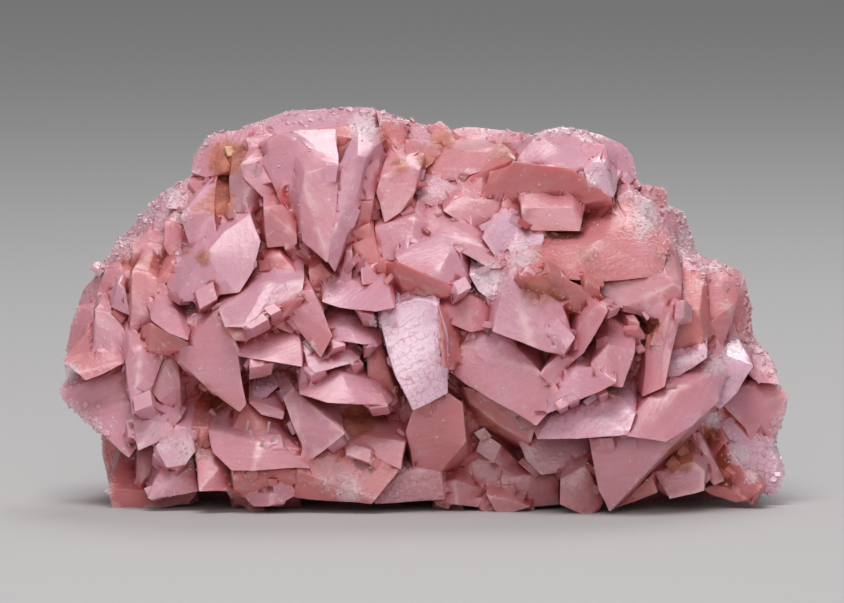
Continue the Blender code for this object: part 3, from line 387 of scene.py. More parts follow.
RUST_ZONES = (
    (225, 158, 20, 1.0), (220, 200, 16, 1.0), (200, 210, 14, 0.5), (205, 258, 12, 0.6), (190, 255, 10, 0.5),
    (245, 150, 14, 0.5), (385, 135, 16, 0.5), (442, 138, 14, 0.9), (505, 150, 30, 0.4), (400, 165, 12, 0.7),
    (425, 158, 14, 0.7), (560, 250, 60, 0.35), (600, 262, 50, 0.3), (650, 258, 30, 0.3), (130, 255, 22, 0.5),
    (150, 262, 14, 0.5), (680, 455, 18, 0.9), (710, 430, 12, 0.8), (725, 470, 20, 0.5), (360, 420, 20, 0.8),
    (215, 400, 24, 0.5), (268, 375, 20, 0.5), (490, 420, 20, 0.5), (540, 290, 30, 0.5), (650, 330, 20, 0.5),
    (200, 450, 16, 0.4), (610, 390, 12, 0.5),
)
# pale chalky druse; some zones, such as those at (490, 280), (592, 180), (712, 420), (738, 455) and (750,
# 475), are painted glints on faces that mirror the light
CHALK_AND_GLINT_ZONES = (
    (365, 125, 18, 1.0), (180, 215, 10, 0.8), (170, 195, 22, 0.7), (150, 212, 14, 0.8), (125, 240, 14, 0.6),
    (520, 255, 20, 0.8), (690, 240, 22, 0.8), (648, 208, 20, 0.8), (645, 225, 16, 0.8), (350, 488, 26, 0.6),
    (330, 480, 20, 0.5), (190, 450, 20, 0.6), (165, 445, 10, 0.8), (70, 372, 12, 0.9), (310, 347, 8, 0.8),
    (375, 322, 8, 0.9), (490, 280, 20, 0.9), (715, 365, 14, 0.7), (712, 420, 10, 1.0), (738, 455, 12, 1.0),
    (750, 475, 10, 0.9), (592, 180, 10, 0.9),
)
CREASE_TURNS = 60                # rounds of filling the joints between crystals
CREASE_RISE = 0.25 * MM
CREASE_SHARE = 0.6
HOLLOW_RAYS = 12
HOLLOW_REACH = 6.0 * MM
GOLDEN_TURN = 2.39996
FOOT_SHADE = 0.30                # painted shade: the foot is darkened like a hollow that is this closed
FOOT_HEIGHT = 11.0 * MM
RIM_WIDTH = 9.0
PATCH_LENGTH = 7.0 * MM
FIXED_FOOT = 0.05 * MM           # nothing below this height moves, so that the cut stays flat


def on_sheet(column, row, depth):
    """The point under a sheet position, depth metres behind the sheet's own plane."""
    across = (column - SHEET_MIDDLE) * SHEET_STEP
    above = (SHEET_FLOOR - row) * SHEET_STEP
    return RIGHT * across + UP * above + INWARD * depth + SETBACK


def sheet_place(point):
    """The sheet column and row that a point lies behind."""
    drawn = point - SETBACK
    return drawn.dot(RIGHT) / SHEET_STEP + SHEET_MIDDLE, SHEET_FLOOR - drawn.dot(UP) / SHEET_STEP


def outline_distance(column, row):
    """Sheet steps from a sheet position to the nearest stretch of the outline."""
    nearest = math.inf
    for (x0, y0), (x1, y1) in zip(OUTLINE, OUTLINE[1:]):
        along_x = x1 - x0
        along_y = y1 - y0
        share = ((column - x0) * along_x + (row - y0) * along_y) / (along_x ** 2 + along_y ** 2)
        share = min(1.0, max(0.0, share))
        nearest = min(nearest, math.hypot(column - x0 - share * along_x, row - y0 - share * along_y))
    return nearest


def face_depth(column, row):
    """Depth of the mean surface of the crystal faces at a sheet position."""
    inside = min(1.0, outline_distance(column, row) / DOME_REACH)
    depth = RIM_DEPTH - DOME_DEPTH * (1.0 - (1.0 - inside) ** 2) ** DOME_POWER
    for middle_x, middle_y, half_x, half_y, forward in FRONT_RELIEF:
        spread = ((column - middle_x) / half_x) ** 2 + ((row - middle_y) / half_y) ** 2
        depth -= forward * MM * math.exp(-spread)
    return depth


def smooth_share(value):
    """Eases a share from 0 to 1."""
    value = min(1.0, max(0.0, value))
    return value * value * (3.0 - 2.0 * value)


def spoke_length(angle):
    """Distance from the core's centre to the outline in one direction, in sheet steps."""
    reach_x = math.cos(angle)
    reach_y = math.sin(angle)
    closed = OUTLINE + (OUTLINE[0],)
    longest = 0.0
    for (x0, y0), (x1, y1) in zip(closed, closed[1:]):
        edge_x = x1 - x0
        edge_y = y1 - y0
        crossing = reach_x * edge_y - reach_y * edge_x
        if abs(crossing) < 1e-9:
            continue
        from_x = x0 - CORE_CENTRE[0]
        from_y = y0 - CORE_CENTRE[1]
        distance = (from_x * edge_y - from_y * edge_x) / crossing
        share = (from_x * reach_y - from_y * reach_x) / crossing
        if distance > 0.0 and 0.0 <= share <= 1.0:
            longest = max(longest, distance)
    return longest


def core_mesh(chance):
    """Closed lump: rings of points on the front and on the back that share the outermost ring."""
    mesh = bmesh.new()
    spokes = [math.tau * number / CORE_SPOKES for number in range(CORE_SPOKES)]
    lengths = [spoke_length(angle) * CORE_INSET for angle in spokes]
    rings = {}
    for side in ("front", "back"):
        for ring in range(1, CORE_RINGS + 1):
            share = (ring / CORE_RINGS) ** 0.8
            if side == "back" and ring == CORE_RINGS:
                rings[side, ring] = rings["front", ring]
                continue
            corners = []
            for angle, length in zip(spokes, lengths):
                column = CORE_CENTRE[0] + math.cos(angle) * length * share
                row = CORE_CENTRE[1] + math.sin(angle) * length * share
                rough = chance.uniform(-CORE_ROUGH, CORE_ROUGH)
                if side == "front":
                    depth = face_depth(column, row) + CORE_GAP
                    depth += FOOT_BACK * smooth_share((row - FOOT_TOP) / 60.0)
                    depth = min(depth, RIM_DEPTH + 2.0 * MM) + rough
                else:
                    depth = RIM_DEPTH + BACK_DEPTH * (1.0 - share ** 3.0) + rough * 1.6
                corners.append(mesh.verts.new(on_sheet(column, row, depth)))
            rings[side, ring] = corners
    for side in ("front", "back"):
        depth = face_depth(*CORE_CENTRE) + CORE_GAP if side == "front" else RIM_DEPTH + BACK_DEPTH
        middle = mesh.verts.new(on_sheet(*CORE_CENTRE, depth))
        for number in range(CORE_SPOKES):
            after = (number + 1) % CORE_SPOKES
            mesh.faces.new((middle, rings[side, 1][number], rings[side, 1][after]))
            for ring in range(1, CORE_RINGS):
                inner = rings[side, ring]
                outer = rings[side, ring + 1]
                mesh.faces.new((inner[number], outer[number], outer[after], inner[after]))
    bmesh.ops.triangulate(mesh, faces=mesh.faces[:])
    bmesh.ops.recalc_face_normals(mesh, faces=mesh.faces[:])
    return mesh


def cut_fine(shape, too_long):
    """Cuts every edge that is too long in two, again and again."""
    for turn in range(CUT_TURNS):
        long_edges = [edge for edge in shape.edges if too_long(edge)]
        if not long_edges:
            break
        bmesh.ops.subdivide_edges(shape, edges=long_edges, cuts=1)
        bmesh.ops.triangulate(shape, faces=[face for face in shape.faces if len(face.verts) > 3])


def weathered(point):
    """A point moved by the slow waviness and the fine unevenness that no natural face is free of."""
    slow = noise.noise_vector(point / WAVE_LENGTH)
    fine = noise.noise_vector(point / CHIP_LENGTH + Vector((7.1, 3.3, 1.9)))
    return point + slow * WAVE + fine * CHIP


def too_coarse(edge):
    """Whether an edge of the grown mass is too long to be roughened; those in the cut stay as they are."""
    middle = (edge.verts[0].co + edge.verts[1].co) / 2.0
    look = sum((face.normal for face in edge.link_faces), Vector())
    longest = FINE_CUT if look.dot(INWARD) < 0.5 else COARSE_CUT
    return middle.z > 0.2 * MM and edge.calc_length() > longest


crystal_count = 0


def closed_hull(points, edge_round, longest, look, folds):
    """Closed hull of the corners, edges rounded and long ones cut; None where that would tear it."""
    shape = bmesh.new()
    for point in points:
        shape.verts.new(point)
    bmesh.ops.convex_hull(shape, input=shape.verts[:])
    loose = [corner for corner in shape.verts if not corner.link_faces]
    bmesh.ops.delete(shape, geom=loose, context="VERTS")
    if edge_round > 0.0:
        bmesh.ops.dissolve_limit(shape, angle_limit=math.radians(1.0), verts=shape.verts[:],
                                 edges=shape.edges[:])
        bmesh.ops.bevel(shape, geom=shape.edges[:], offset=edge_round, offset_type="OFFSET", segments=1,
                        profile=0.6, affect="EDGES", clamp_overlap=True)
        bmesh.ops.triangulate(shape, faces=shape.faces[:])
    for anchor, side, amount in folds:
        parts = shape.verts[:] + shape.edges[:] + shape.faces[:]
        bmesh.ops.bisect_plane(shape, geom=parts, plane_co=anchor, plane_no=side, dist=0.01 * MM)
        bmesh.ops.triangulate(shape, faces=[face for face in shape.faces if len(face.verts) > 3])
    if longest > 0.0:
        lowest = min(points[:len(points) // 2], key=lambda point: point.dot(look))

        def too_long(edge):
            if edge.calc_length() <= longest:
                return False
            return max((corner.co - lowest).dot(look) for corner in edge.verts) > -OPEN_DEPTH

        cut_fine(shape, too_long)
    bmesh.ops.recalc_face_normals(shape, faces=shape.faces[:])
    if any(not edge.is_manifold for edge in shape.edges):
        shape.free()
        return None
    return shape


def grow(name, points, look, width, finish_and_shade, home, edge_round=EDGE_ROUND, bend=BEND, folds=(), push=None):
    """A crystal through the given corners: edges rounded, body folded and bent to a saddle."""
    global crystal_count
    longest = max(BENT_CUT, width * 0.3) if bend else 0.0
    shape = closed_hull(points, edge_round, longest, look, folds)
    shape = shape or closed_hull(points, 0.0, longest, look, folds)
    shape = shape or closed_hull(points, edge_round, 0.0, look, ()) or closed_hull(points, 0.0, 0.0, look, ())
    push = push or look
    middle = sum(points, Vector()) / len(points)
    along = (points[2] - points[0]).normalized()
    along = (along - look * along.dot(look)).normalized()
    across = look.cross(along)
    places = []
    for corner in shape.verts:
        offset = corner.co - middle
        s = offset.dot(along) / width
        t = offset.dot(across) / width
        places.append((offset.dot(along) / MM, offset.dot(across) / MM, offset.dot(look) / MM))
        lift = bend * width * (s * s - t * t) * 2.0
        for anchor, side, amount in folds:
            lift -= amount * abs((corner.co - anchor).dot(side))
        corner.co = corner.co + push * lift
    mesh = bpy.data.meshes.new(name)
    shape.to_mesh(mesh)
    shape.free()
    lattice = mesh.attributes.new("lattice", "FLOAT_VECTOR", "POINT")
    lattice.data.foreach_set("vector", [value for place in places for value in place])
    tone = mesh.attributes.new("tone", "FLOAT_COLOR", "FACE")
    tone.data.foreach_set("color", list(FINISHES_AND_SHADES[finish_and_shade]) * len(mesh.polygons))
    own = mesh.attributes.new("own", "FLOAT", "FACE")
    own.data.foreach_set("value", [(crystal_count * 0.61803) % 1.0] * len(mesh.polygons))
    crystal_count += 1
    home.objects.link(bpy.data.objects.new(name, mesh))


def outline_share(column, line):
    """A sheet position's distance from the core's centre, as a share of the way to the outline."""
    angle = math.atan2(line - CORE_CENTRE[1], column - CORE_CENTRE[0])
    return math.hypot(column - CORE_CENTRE[0], line - CORE_CENTRE[1]) / spoke_length(angle)


def kept_inside(column, line):
    """The sheet position itself, or drawn in towards the core's centre where it would leave the outline."""
    reach = math.hypot(column - CORE_CENTRE[0], line - CORE_CENTRE[1])
    limit = spoke_length(math.atan2(line - CORE_CENTRE[1], column - CORE_CENTRE[0])) * ROOT_SHARE
    if reach <= limit:
        return column, line
    return (CORE_CENTRE[0] + (column - CORE_CENTRE[0]) * limit / reach,
            CORE_CENTRE[1] + (line - CORE_CENTRE[1]) * limit / reach)


def drawn_crystal(number, row, home, steps):
    """A front crystal: its face as laid out on the sheet, extruded back into the core, with growth steps."""
    finish_and_shade, proud, lean, swing, corners = row
    columns = corners[0::2]
    rows = corners[1::2]
    middle_x = sum(columns) / len(columns)
    middle_y = sum(rows) / len(rows)
    area = 0.0
    for index in range(len(columns)):
        after = (index + 1) % len(columns)
        area += columns[index] * rows[after] - columns[after] * rows[index]
    width = math.sqrt(abs(area) / 2.0) * SHEET_STEP
    depth = face_depth(middle_x, middle_y) - proud * MM
    rise = math.tan(math.radians(lean))
    turn = math.tan(math.radians(swing))
    root = proud * MM + DEPTH_UNDER + DEPTH_SHARE * width
    lie = Vector((turn, rise + UPWARD_BIAS)).normalized() * UNDERCUT * root / SHEET_STEP
    look = (-INWARD + UP * rise + RIGHT * turn).normalized()
    face = []
    roots = []
    half = max(middle_y - min(rows), 1.0)
    for column, line in zip(columns, rows):
        slope = ((middle_y - line) * rise + (column - middle_x) * turn) * SHEET_STEP
        face.append(on_sheet(column, line, depth + slope))
        upper = min(1.0, max(0.0, (middle_y - line) / half))
        far_x = middle_x + (column - middle_x) * SIDE_FLARE + lie.x
        far_y = middle_y + (line - middle_y) * ROOT_TAPER - lie.y - upper * SHOULDER * root / SHEET_STEP
        far_x, far_y = kept_inside(far_x, far_y)
        roots.append(on_sheet(far_x, far_y, depth + slope + root))
    centre = sum(face, Vector()) / len(face)
    folds = []
    fold_count = steps.choice((1, 1, 2, 2)) if width > FOLDED_FROM and finish_and_shade not in PLAIN else 0
    for fold in range(fold_count):
        tip = face[steps.randrange(len(face))]
        target = centre + Vector([steps.uniform(-0.2, 0.2) for axis in range(3)]) * width
        run = (target - tip).normalized()
        side = run.cross(look).normalized()
        folds.append((tip, side, steps.choice((1.0, 1.0, -0.6)) * steps.uniform(*FOLD)))
    grow("crystal_%03d" % number, face + roots, look, width, finish_and_shade, home,
         bend=BEND * steps.uniform(-1.0, 1.0), folds=folds, push=-INWARD)
    if finish_and_shade not in PLAIN:
        grow_beside("beside_%03d" % number, face, look, width, finish_and_shade, home, steps)


def spin_of(normal, direction):
    """Turn about a normal that brings a rhomb's first edge onto a direction."""
    side = normal.orthogonal().normalized()
    return math.atan2(direction.dot(normal.cross(side)), direction.dot(side))


def grow_beside(name, face, look, width, finish_and_shade, home, steps):
    """Parallel growths stepping over a crystal's border, and small crystals in the joint around it."""
    centre = sum(face, Vector()) / len(face)
    lengths = [(face[index - 1] - face[index]).length for index in range(len(face))]
    longest = lengths.index(max(lengths))
    along = (face[longest - 1] - face[longest]).normalized()
    parallel = round(steps.uniform(*PARALLEL_COUNT)) if width > PARALLEL_FROM else 0
    joint = round(steps.uniform(*JOINT_COUNT)) if width > JOINT_FROM else 0
    for step in range(parallel + joint):
        edge = steps.randrange(len(face))
        border = face[edge - 1].lerp(face[edge], steps.uniform(0.1, 0.9))
        jitter = Vector([steps.uniform(-1.0, 1.0) for axis in range(3)])
        if step < parallel:
            spot = border.lerp(centre, steps.uniform(*PARALLEL_IN))
            spot = spot - look * steps.uniform(*PARALLEL_SINK) * MM
            normal = (look + jitter * 0.08).normalized()
            across = width * steps.uniform(*PARALLEL_WIDTH)
            spin = spin_of(normal, along) + steps.uniform(-0.15, 0.15)
            depth = PARALLEL_DEPTH
        else:
            column, line = sheet_place(border.lerp(centre, steps.uniform(*JOINT_IN)))
            spot = on_sheet(column, line, face_depth(column, line) + steps.uniform(*JOINT_SINK) * MM)
            normal = (look + jitter * 0.30).normalized()
            across = min(width * JOINT_SHARE, steps.uniform(*JOINT_WIDTH) * MM)
            spin = spin_of(normal, along) + steps.uniform(-0.7, 0.7)
            depth = JOINT_DEPTH
        corners = rhomb_corners(spot, normal, spin, across, across * steps.uniform(*BLOCK_SHAPE), depth)
        if inside_outline(corners[:4]):
            grow("%s_%d" % (name, step), corners, normal, across, finish_and_shade, home,
                 edge_round=SMALL_ROUND, bend=0.0)


def rhomb_corners(centre, normal, spin, width, length, depth):
    """Corners of a rhomb-faced block whose face is centred on a point; its sides lean as in the mineral."""
    side = normal.orthogonal().normalized()
    cross = normal.cross(side)
    first = side * math.cos(spin) + cross * math.sin(spin)
    second = side * math.cos(spin + RHOMB_ANGLE) + cross * math.sin(spin + RHOMB_ANGLE)
    down = (-normal + (first + second) * 0.18).normalized() * depth
    face = []
    for a, b in ((-0.5, -0.5), (0.5, -0.5), (0.5, 0.5), (-0.5, 0.5)):
        face.append(centre + first * width * a + second * length * b)
    return face + [corner + down for corner in face]


def inside_outline(points):
    """Whether every corner lies behind the drawn outline, so that nothing new shows from the front."""
    return all(outline_share(*sheet_place(point)) <= OUTLINE_SHARE for point in points)


chance = random.Random(FILL_SEED)
steps = random.Random(STEP_SEED)
noise.seed_set(NOISE_SEED)
druse = bpy.data.collections.new("druse")
bpy.context.scene.collection.children.link(druse)

core_shape = core_mesh(chance)
core_faces = [(face.calc_center_median(), face.normal.copy()) for face in core_shape.faces]
for corner in core_shape.verts:
    column, line = sheet_place(corner.co)
    behind = (corner.co - SETBACK).dot(INWARD) - face_depth(column, line)
    if behind < 2.0 * CORE_GAP and line < FOOT_TOP:
        corner.co -= INWARD * CORE_FILL * smooth_share(outline_distance(column, line) / 40.0)
core_data = bpy.data.meshes.new("crystal_mass")
core_shape.to_mesh(core_data)
core_shape.free()
core_data.attributes.new("own", "FLOAT", "FACE")
core_tone = core_data.attributes.new("tone", "FLOAT_COLOR", "FACE")
core_tone.data.foreach_set("color", [0.7, 0.0, 0.3, 0.3] * len(core_data.polygons))
core_lattice = core_data.attributes.new("lattice", "FLOAT_VECTOR", "POINT")
core_lattice.data.foreach_set("vector", [value / MM for corner in core_data.vertices for value in corner.co])
crystal_mass = bpy.data.objects.new("crystal_mass", core_data)
bpy.context.scene.collection.objects.link(crystal_mass)

for number, row in enumerate(CRYSTALS):
    drawn_crystal(number, row, druse, steps)

placed = 0
while placed < FILL_COUNT:
    column = chance.uniform(70.0, 780.0)
    line = chance.uniform(120.0, 480.0)
    if outline_share(column, line) > FILL_REACH:
        continue
    width = chance.uniform(*FILL_WIDTH)
    depth = face_depth(column, line) - chance.uniform(*FILL_PROUD)
    look = -INWARD + UP * chance.uniform(-0.3, 0.7) + RIGHT * chance.uniform(-0.5, 0.5)
    spot = on_sheet(column, line, depth)
    corners = rhomb_corners(spot, look.normalized(), chance.uniform(0.0, math.tau), width,
                            width * chance.uniform(0.7, 1.2), FILL_DEPTH)
    corners = [corner + INWARD * FILL_SINK for corner in corners]
    grow("fill_%03d" % placed, corners, look.normalized(), width, "m", druse)
    placed += 1

cleavage = (INWARD + UP * 0.35 + RIGHT * 0.2).normalized()
for number, (centre, normal) in enumerate(core_faces):
    facing_back = normal.dot(INWARD)
    if centre.z < -3.0 * MM or facing_back < -0.25:
        continue
    if facing_back > BACK_NORMAL:
        if chance.random() > BACK_SHARE:
            continue
        width = chance.uniform(*BACK_WIDTH)
        spot = centre + normal * chance.uniform(*BACK_PROUD)
        look = (cleavage + Vector([chance.uniform(-0.3, 0.3) for axis in range(3)])).normalized()
        spin = chance.choice((0.4, 2.2)) + chance.uniform(-0.3, 0.3)
        finish_and_shade = "d"
    else:
        if chance.random() > FLANK_SHARE:
            continue
        width = chance.uniform(*FLANK_WIDTH)
        spot = centre + normal * chance.uniform(*FLANK_PROUD)
        tilt = Vector([chance.uniform(-1.0, 1.0) for axis in range(3)]) * math.tan(FLANK_TILT)
        look = (normal + tilt * 0.7).normalized()
        spin = chance.uniform(0.0, math.tau)
        finish_and_shade = "m"
    length = width * chance.uniform(0.7, 1.3)
    for attempt in range(SHRINK_TRIES):
        corners = rhomb_corners(spot, look, spin, width, length, width * 0.6 + 3.0 * MM)
        if inside_outline(corners):
            grow("flank_%03d" % number, corners, look, width, finish_and_shade, druse)
            break
        width *= SHRINK
        length *= SHRINK

back_faces = [spot for spot in core_faces if spot[1].dot(INWARD) > BACK_NORMAL and spot[0].z > 2.0 * MM]
for number in range(BACK_STEPS):
    centre, normal = back_faces[steps.randrange(len(back_faces))]
    jitter = Vector([steps.uniform(-1.0, 1.0) for axis in range(3)])
    spot = centre + jitter * 4.0 * MM
    spot += normal * ((centre - spot).dot(normal) + steps.uniform(*BACK_STEP_PROUD) * MM)
    look = (cleavage + jitter * 0.12).normalized()
    width = steps.uniform(*BACK_STEP_WIDTH) * MM
    corners = rhomb_corners(spot, look, steps.choice((0.4, 2.2)) + jitter.x * 0.15, width,
                            width * steps.uniform(0.5, 1.3), width * 0.5 + 3.0 * MM)
    if inside_outline(corners):
        grow("back_step_%03d" % number, corners, look, width, "d", druse, edge_round=SMALL_ROUND, bend=0.0)

union = crystal_mass.modifiers.new("grown together", "BOOLEAN")
union.operation = "UNION"
union.operand_type = "COLLECTION"
union.collection = druse
union.solver = "MANIFOLD"

cutter_mesh = bpy.data.meshes.new("floor_cutter")
cutter_shape = bmesh.new()
bmesh.ops.create_cube(cutter_shape, size=2.0 * SLAB)
bmesh.ops.translate(cutter_shape, verts=cutter_shape.verts[:], vec=(0.0, 0.0, -SLAB))
cutter_shape.to_mesh(cutter_mesh)
cutter_shape.free()
cutter = bpy.data.objects.new("floor_cutter", cutter_mesh)
bpy.context.scene.collection.objects.link(cutter)
trim = crystal_mass.modifiers.new("cut off flat", "BOOLEAN")
trim.operation = "DIFFERENCE"
trim.object = cutter
trim.solver = "MANIFOLD"

graph = bpy.context.evaluated_depsgraph_get()
grown = bpy.data.meshes.new_from_object(crystal_mass.evaluated_get(graph))
crystal_mass.modifiers.clear()
for crystal in list(druse.objects):
    bpy.data.objects.remove(crystal)
bpy.data.objects.remove(cutter)
crystal_mass.data = grown
grown.name = "crystal_mass"

fine = bmesh.new()
fine.from_mesh(grown)
bmesh.ops.triangulate(fine, faces=fine.faces[:])
waiting = set(fine.faces)
shells = []
while waiting:
    shell = {waiting.pop()}
    margin = list(shell)
    while margin:
        for edge in margin.pop().edges:
            for neighbour in edge.link_faces:
                if neighbour in waiting:
                    waiting.discard(neighbour)
                    shell.add(neighbour)
                    margin.append(neighbour)
    shells.append(shell)
largest = max(shells, key=len)
inner = [face for face in fine.faces if face not in largest]
bmesh.ops.delete(fine, geom=inner, context="FACES")
loose = [corner for corner in fine.verts if not corner.link_faces]
bmesh.ops.delete(fine, geom=loose, context="VERTS")
cut_fine(fine, too_coarse)
for corner in fine.verts:
    if corner.co.z > FIXED_FOOT:
        lift = smooth_share((corner.co.z - FIXED_FOOT) / (2.0 * MM))
        corner.co = corner.co.lerp(weathered(corner.co), lift)
fine.to_mesh(grown)
fine.free()

# points and faces are put in order of place, so that what is scattered on them falls alike each time
count = len(grown.vertices)
places = np.empty(count * 3)
grown.vertices.foreach_get("co", places)
places = places.reshape(count, 3)
lattice = np.empty(count * 3)
grown.attributes["lattice"].data.foreach_get("vector", lattice)
corners = np.empty(len(grown.loops), dtype=np.int64)
grown.loops.foreach_get("vertex_index", corners)
corners = corners.reshape(-1, 3)
tone = np.empty(len(corners) * 4)
grown.attributes["tone"].data.foreach_get("color", tone)
own = np.empty(len(corners))
grown.attributes["own"].data.foreach_get("value", own)
order = np.lexsort(places.T)
rank = np.empty(count, dtype=np.int64)
rank[order] = np.arange(count)
corners = rank[corners]
start = corners.argmin(axis=1)
corners = np.take_along_axis(corners, (start[:, None] + np.arange(3)) % 3, axis=1)
face_order = np.lexsort(corners.T[::-1])
corners = corners[face_order]
places = places[order]
bpy.data.meshes.remove(grown)
grown = bpy.data.meshes.new("crystal_mass")
grown.from_pydata(places.tolist(), [], corners.tolist())
crystal_mass = bpy.data.objects.new("crystal_mass", grown)
bpy.context.scene.collection.objects.link(crystal_mass)
for name, kind, domain, field, values in (
        ("lattice", "FLOAT_VECTOR", "POINT", "vector", lattice.reshape(-1, 3)[order]),
        ("tone", "FLOAT_COLOR", "FACE", "color", tone.reshape(-1, 4)[face_order]),
        ("own", "FLOAT", "FACE", "value", own[face_order])):
    grown.attributes.new(name, kind, domain).data.foreach_set(field, values.ravel())

# joints between crystals fill up a little, as a grown-together mass does: hollow creases are drawn outwards
pairs = np.empty(len(grown.edges) * 2, dtype=np.int64)
grown.edges.foreach_get("vertices", pairs)
pairs = pairs.reshape(-1, 2)
neighbours = np.bincount(pairs.ravel(), minlength=count).astype(float)
free_to_move = places[:, 2] > 0.4 * MM
for turn in range(CREASE_TURNS):
    edge_a = places[corners[:, 1]] - places[corners[:, 0]]
    edge_b = places[corners[:, 2]] - places[corners[:, 0]]
    facing = np.cross(edge_a, edge_b)
    normals = np.zeros_like(places)
    for side in range(3):
        for axis in range(3):
            normals[:, axis] += np.bincount(corners[:, side], weights=facing[:, axis], minlength=count)
    normals /= np.maximum(np.linalg.norm(normals, axis=1, keepdims=True), 1e-12)
    average = np.zeros_like(places)
    for axis in range(3):
        average[:, axis] = np.bincount(pairs[:, 0], weights=places[pairs[:, 1], axis], minlength=count)
        average[:, axis] += np.bincount(pairs[:, 1], weights=places[pairs[:, 0], axis], minlength=count)
    average /= neighbours[:, None]
    rise = np.einsum("ij,ij->i", average - places, normals)
    rise = np.where(free_to_move, np.clip(rise, 0.0, CREASE_RISE), 0.0)
    places += normals * rise[:, None] * CREASE_SHARE
sharpness = np.clip(-np.einsum("ij,ij->i", average - places, normals) / (0.22 * MM), 0.0, 1.0)
low, high = (np.array(bound) for bound in cad_bounds)
places = np.clip(places, low, high)
grown.vertices.foreach_set("co", places.ravel())
grown.update()
grown.set_sharp_from_angle(angle=math.radians(26.0))

# how deep in a hollow each point lies, which the colours turn into painted shade; where rust has settled; and
# where chalky druse and some painted glints lie
tree = BVHTree.FromPolygons([Vector(place) for place in places], corners.tolist())
rays = []
for ray in range(HOLLOW_RAYS):
    height = math.sqrt((ray + 0.5) / HOLLOW_RAYS)
    angle = ray * GOLDEN_TURN
    ring = math.sqrt(1.0 - height * height)
    rays.append((ring * math.cos(angle), ring * math.sin(angle), height))
hollow = np.zeros(count)
for index in range(count):
    up = Vector(normals[index])
    if places[index][2] < 0.1 * MM:
        continue
    side = up.orthogonal().normalized()
    cross = up.cross(side)
    start = Vector(places[index]) + up * 0.06 * MM
    closed = 0.0
    for a, b, c in rays:
        hit = tree.ray_cast(start, side * a + cross * b + up * c, HOLLOW_REACH)[3]
        if hit is not None:
            closed += 1.0 - hit / HOLLOW_REACH
    hollow[index] = closed / HOLLOW_RAYS
# painted shade: the foot, low under the light, is darkened as if it lay in a hollow
hollow += FOOT_SHADE * np.clip(1.0 - places[:, 2] / FOOT_HEIGHT, 0.0, 1.0)
drawn = places - np.array(SETBACK)
columns = drawn @ np.array(RIGHT) / SHEET_STEP + SHEET_MIDDLE
lines = SHEET_FLOOR - drawn @ np.array(UP) / SHEET_STEP
facing_front = np.clip(0.5 - drawn @ np.array(INWARD) / (10.0 * MM), 0.0, 1.0)

rim = np.full(count, np.inf)
for (x0, y0), (x1, y1) in zip(OUTLINE, OUTLINE[1:]):
    run = np.array((x1 - x0, y1 - y0), dtype=float)
    away = np.stack((columns - x0, lines - y0), axis=1)
    share = np.clip(away @ run / (run @ run), 0.0, 1.0)
    rim = np.minimum(rim, np.linalg.norm(away - share[:, None] * run, axis=1))
edge_share = np.exp(-(rim / RIM_WIDTH) ** 2)


def settled(zones):
    """How strongly any of the zones covers each point of the front."""
    cover = np.zeros(count)
    for column, line, radius, strength in zones:
        away = ((columns - column) ** 2 + (lines - line) ** 2) / radius ** 2
        cover = np.maximum(cover, strength * np.exp(-away))
    return cover * facing_front


chalk_and_glint_here = np.maximum(settled(CHALK_AND_GLINT_ZONES), edge_share * 0.55 * facing_front)
above_cut = np.clip((places[:, 2] - 1.0 * MM) / (1.5 * MM), 0.0, 1.0)
sugar_here = np.clip(settled(CHALK_AND_GLINT_ZONES) * 1.1 - 0.15 + edge_share * 0.45, 0.006, 1.0) * above_cut
young_here = np.clip((hollow - 0.25) * 1.8, 0.0, 0.5) * above_cut
young_here *= np.clip(1.0 - (hollow - 0.75) * 6.0, 0.0, 1.0)
patches = np.array([noise.noise(Vector(place) / PATCH_LENGTH) for place in places])
band = np.exp(-(rim / 8.0) ** 2) * np.clip(0.45 + patches * 2.2, 0.0, 1.0)
drawn_back = np.clip((drawn @ np.array(INWARD)) / (5.0 * MM), 0.0, 1.0)
rim_here = np.maximum(band * (1.0 - 0.6 * drawn_back), np.clip(patches * 2.5 - 0.75, 0.0, 0.5) * drawn_back)
rim_here = rim_here * above_cut * np.clip(1.2 - hollow * 2.0, 0.0, 1.0)
for name, values in (("hollow", hollow), ("ridge", sharpness), ("rust", settled(RUST_ZONES)),
                     ("chalk_and_glint", chalk_and_glint_here), ("sugar_here", sugar_here), ("young_here", young_here),
                     ("rim_here", rim_here)):
    layer = grown.attributes.new(name, "FLOAT", "POINT")
    layer.data.foreach_set("value", values)


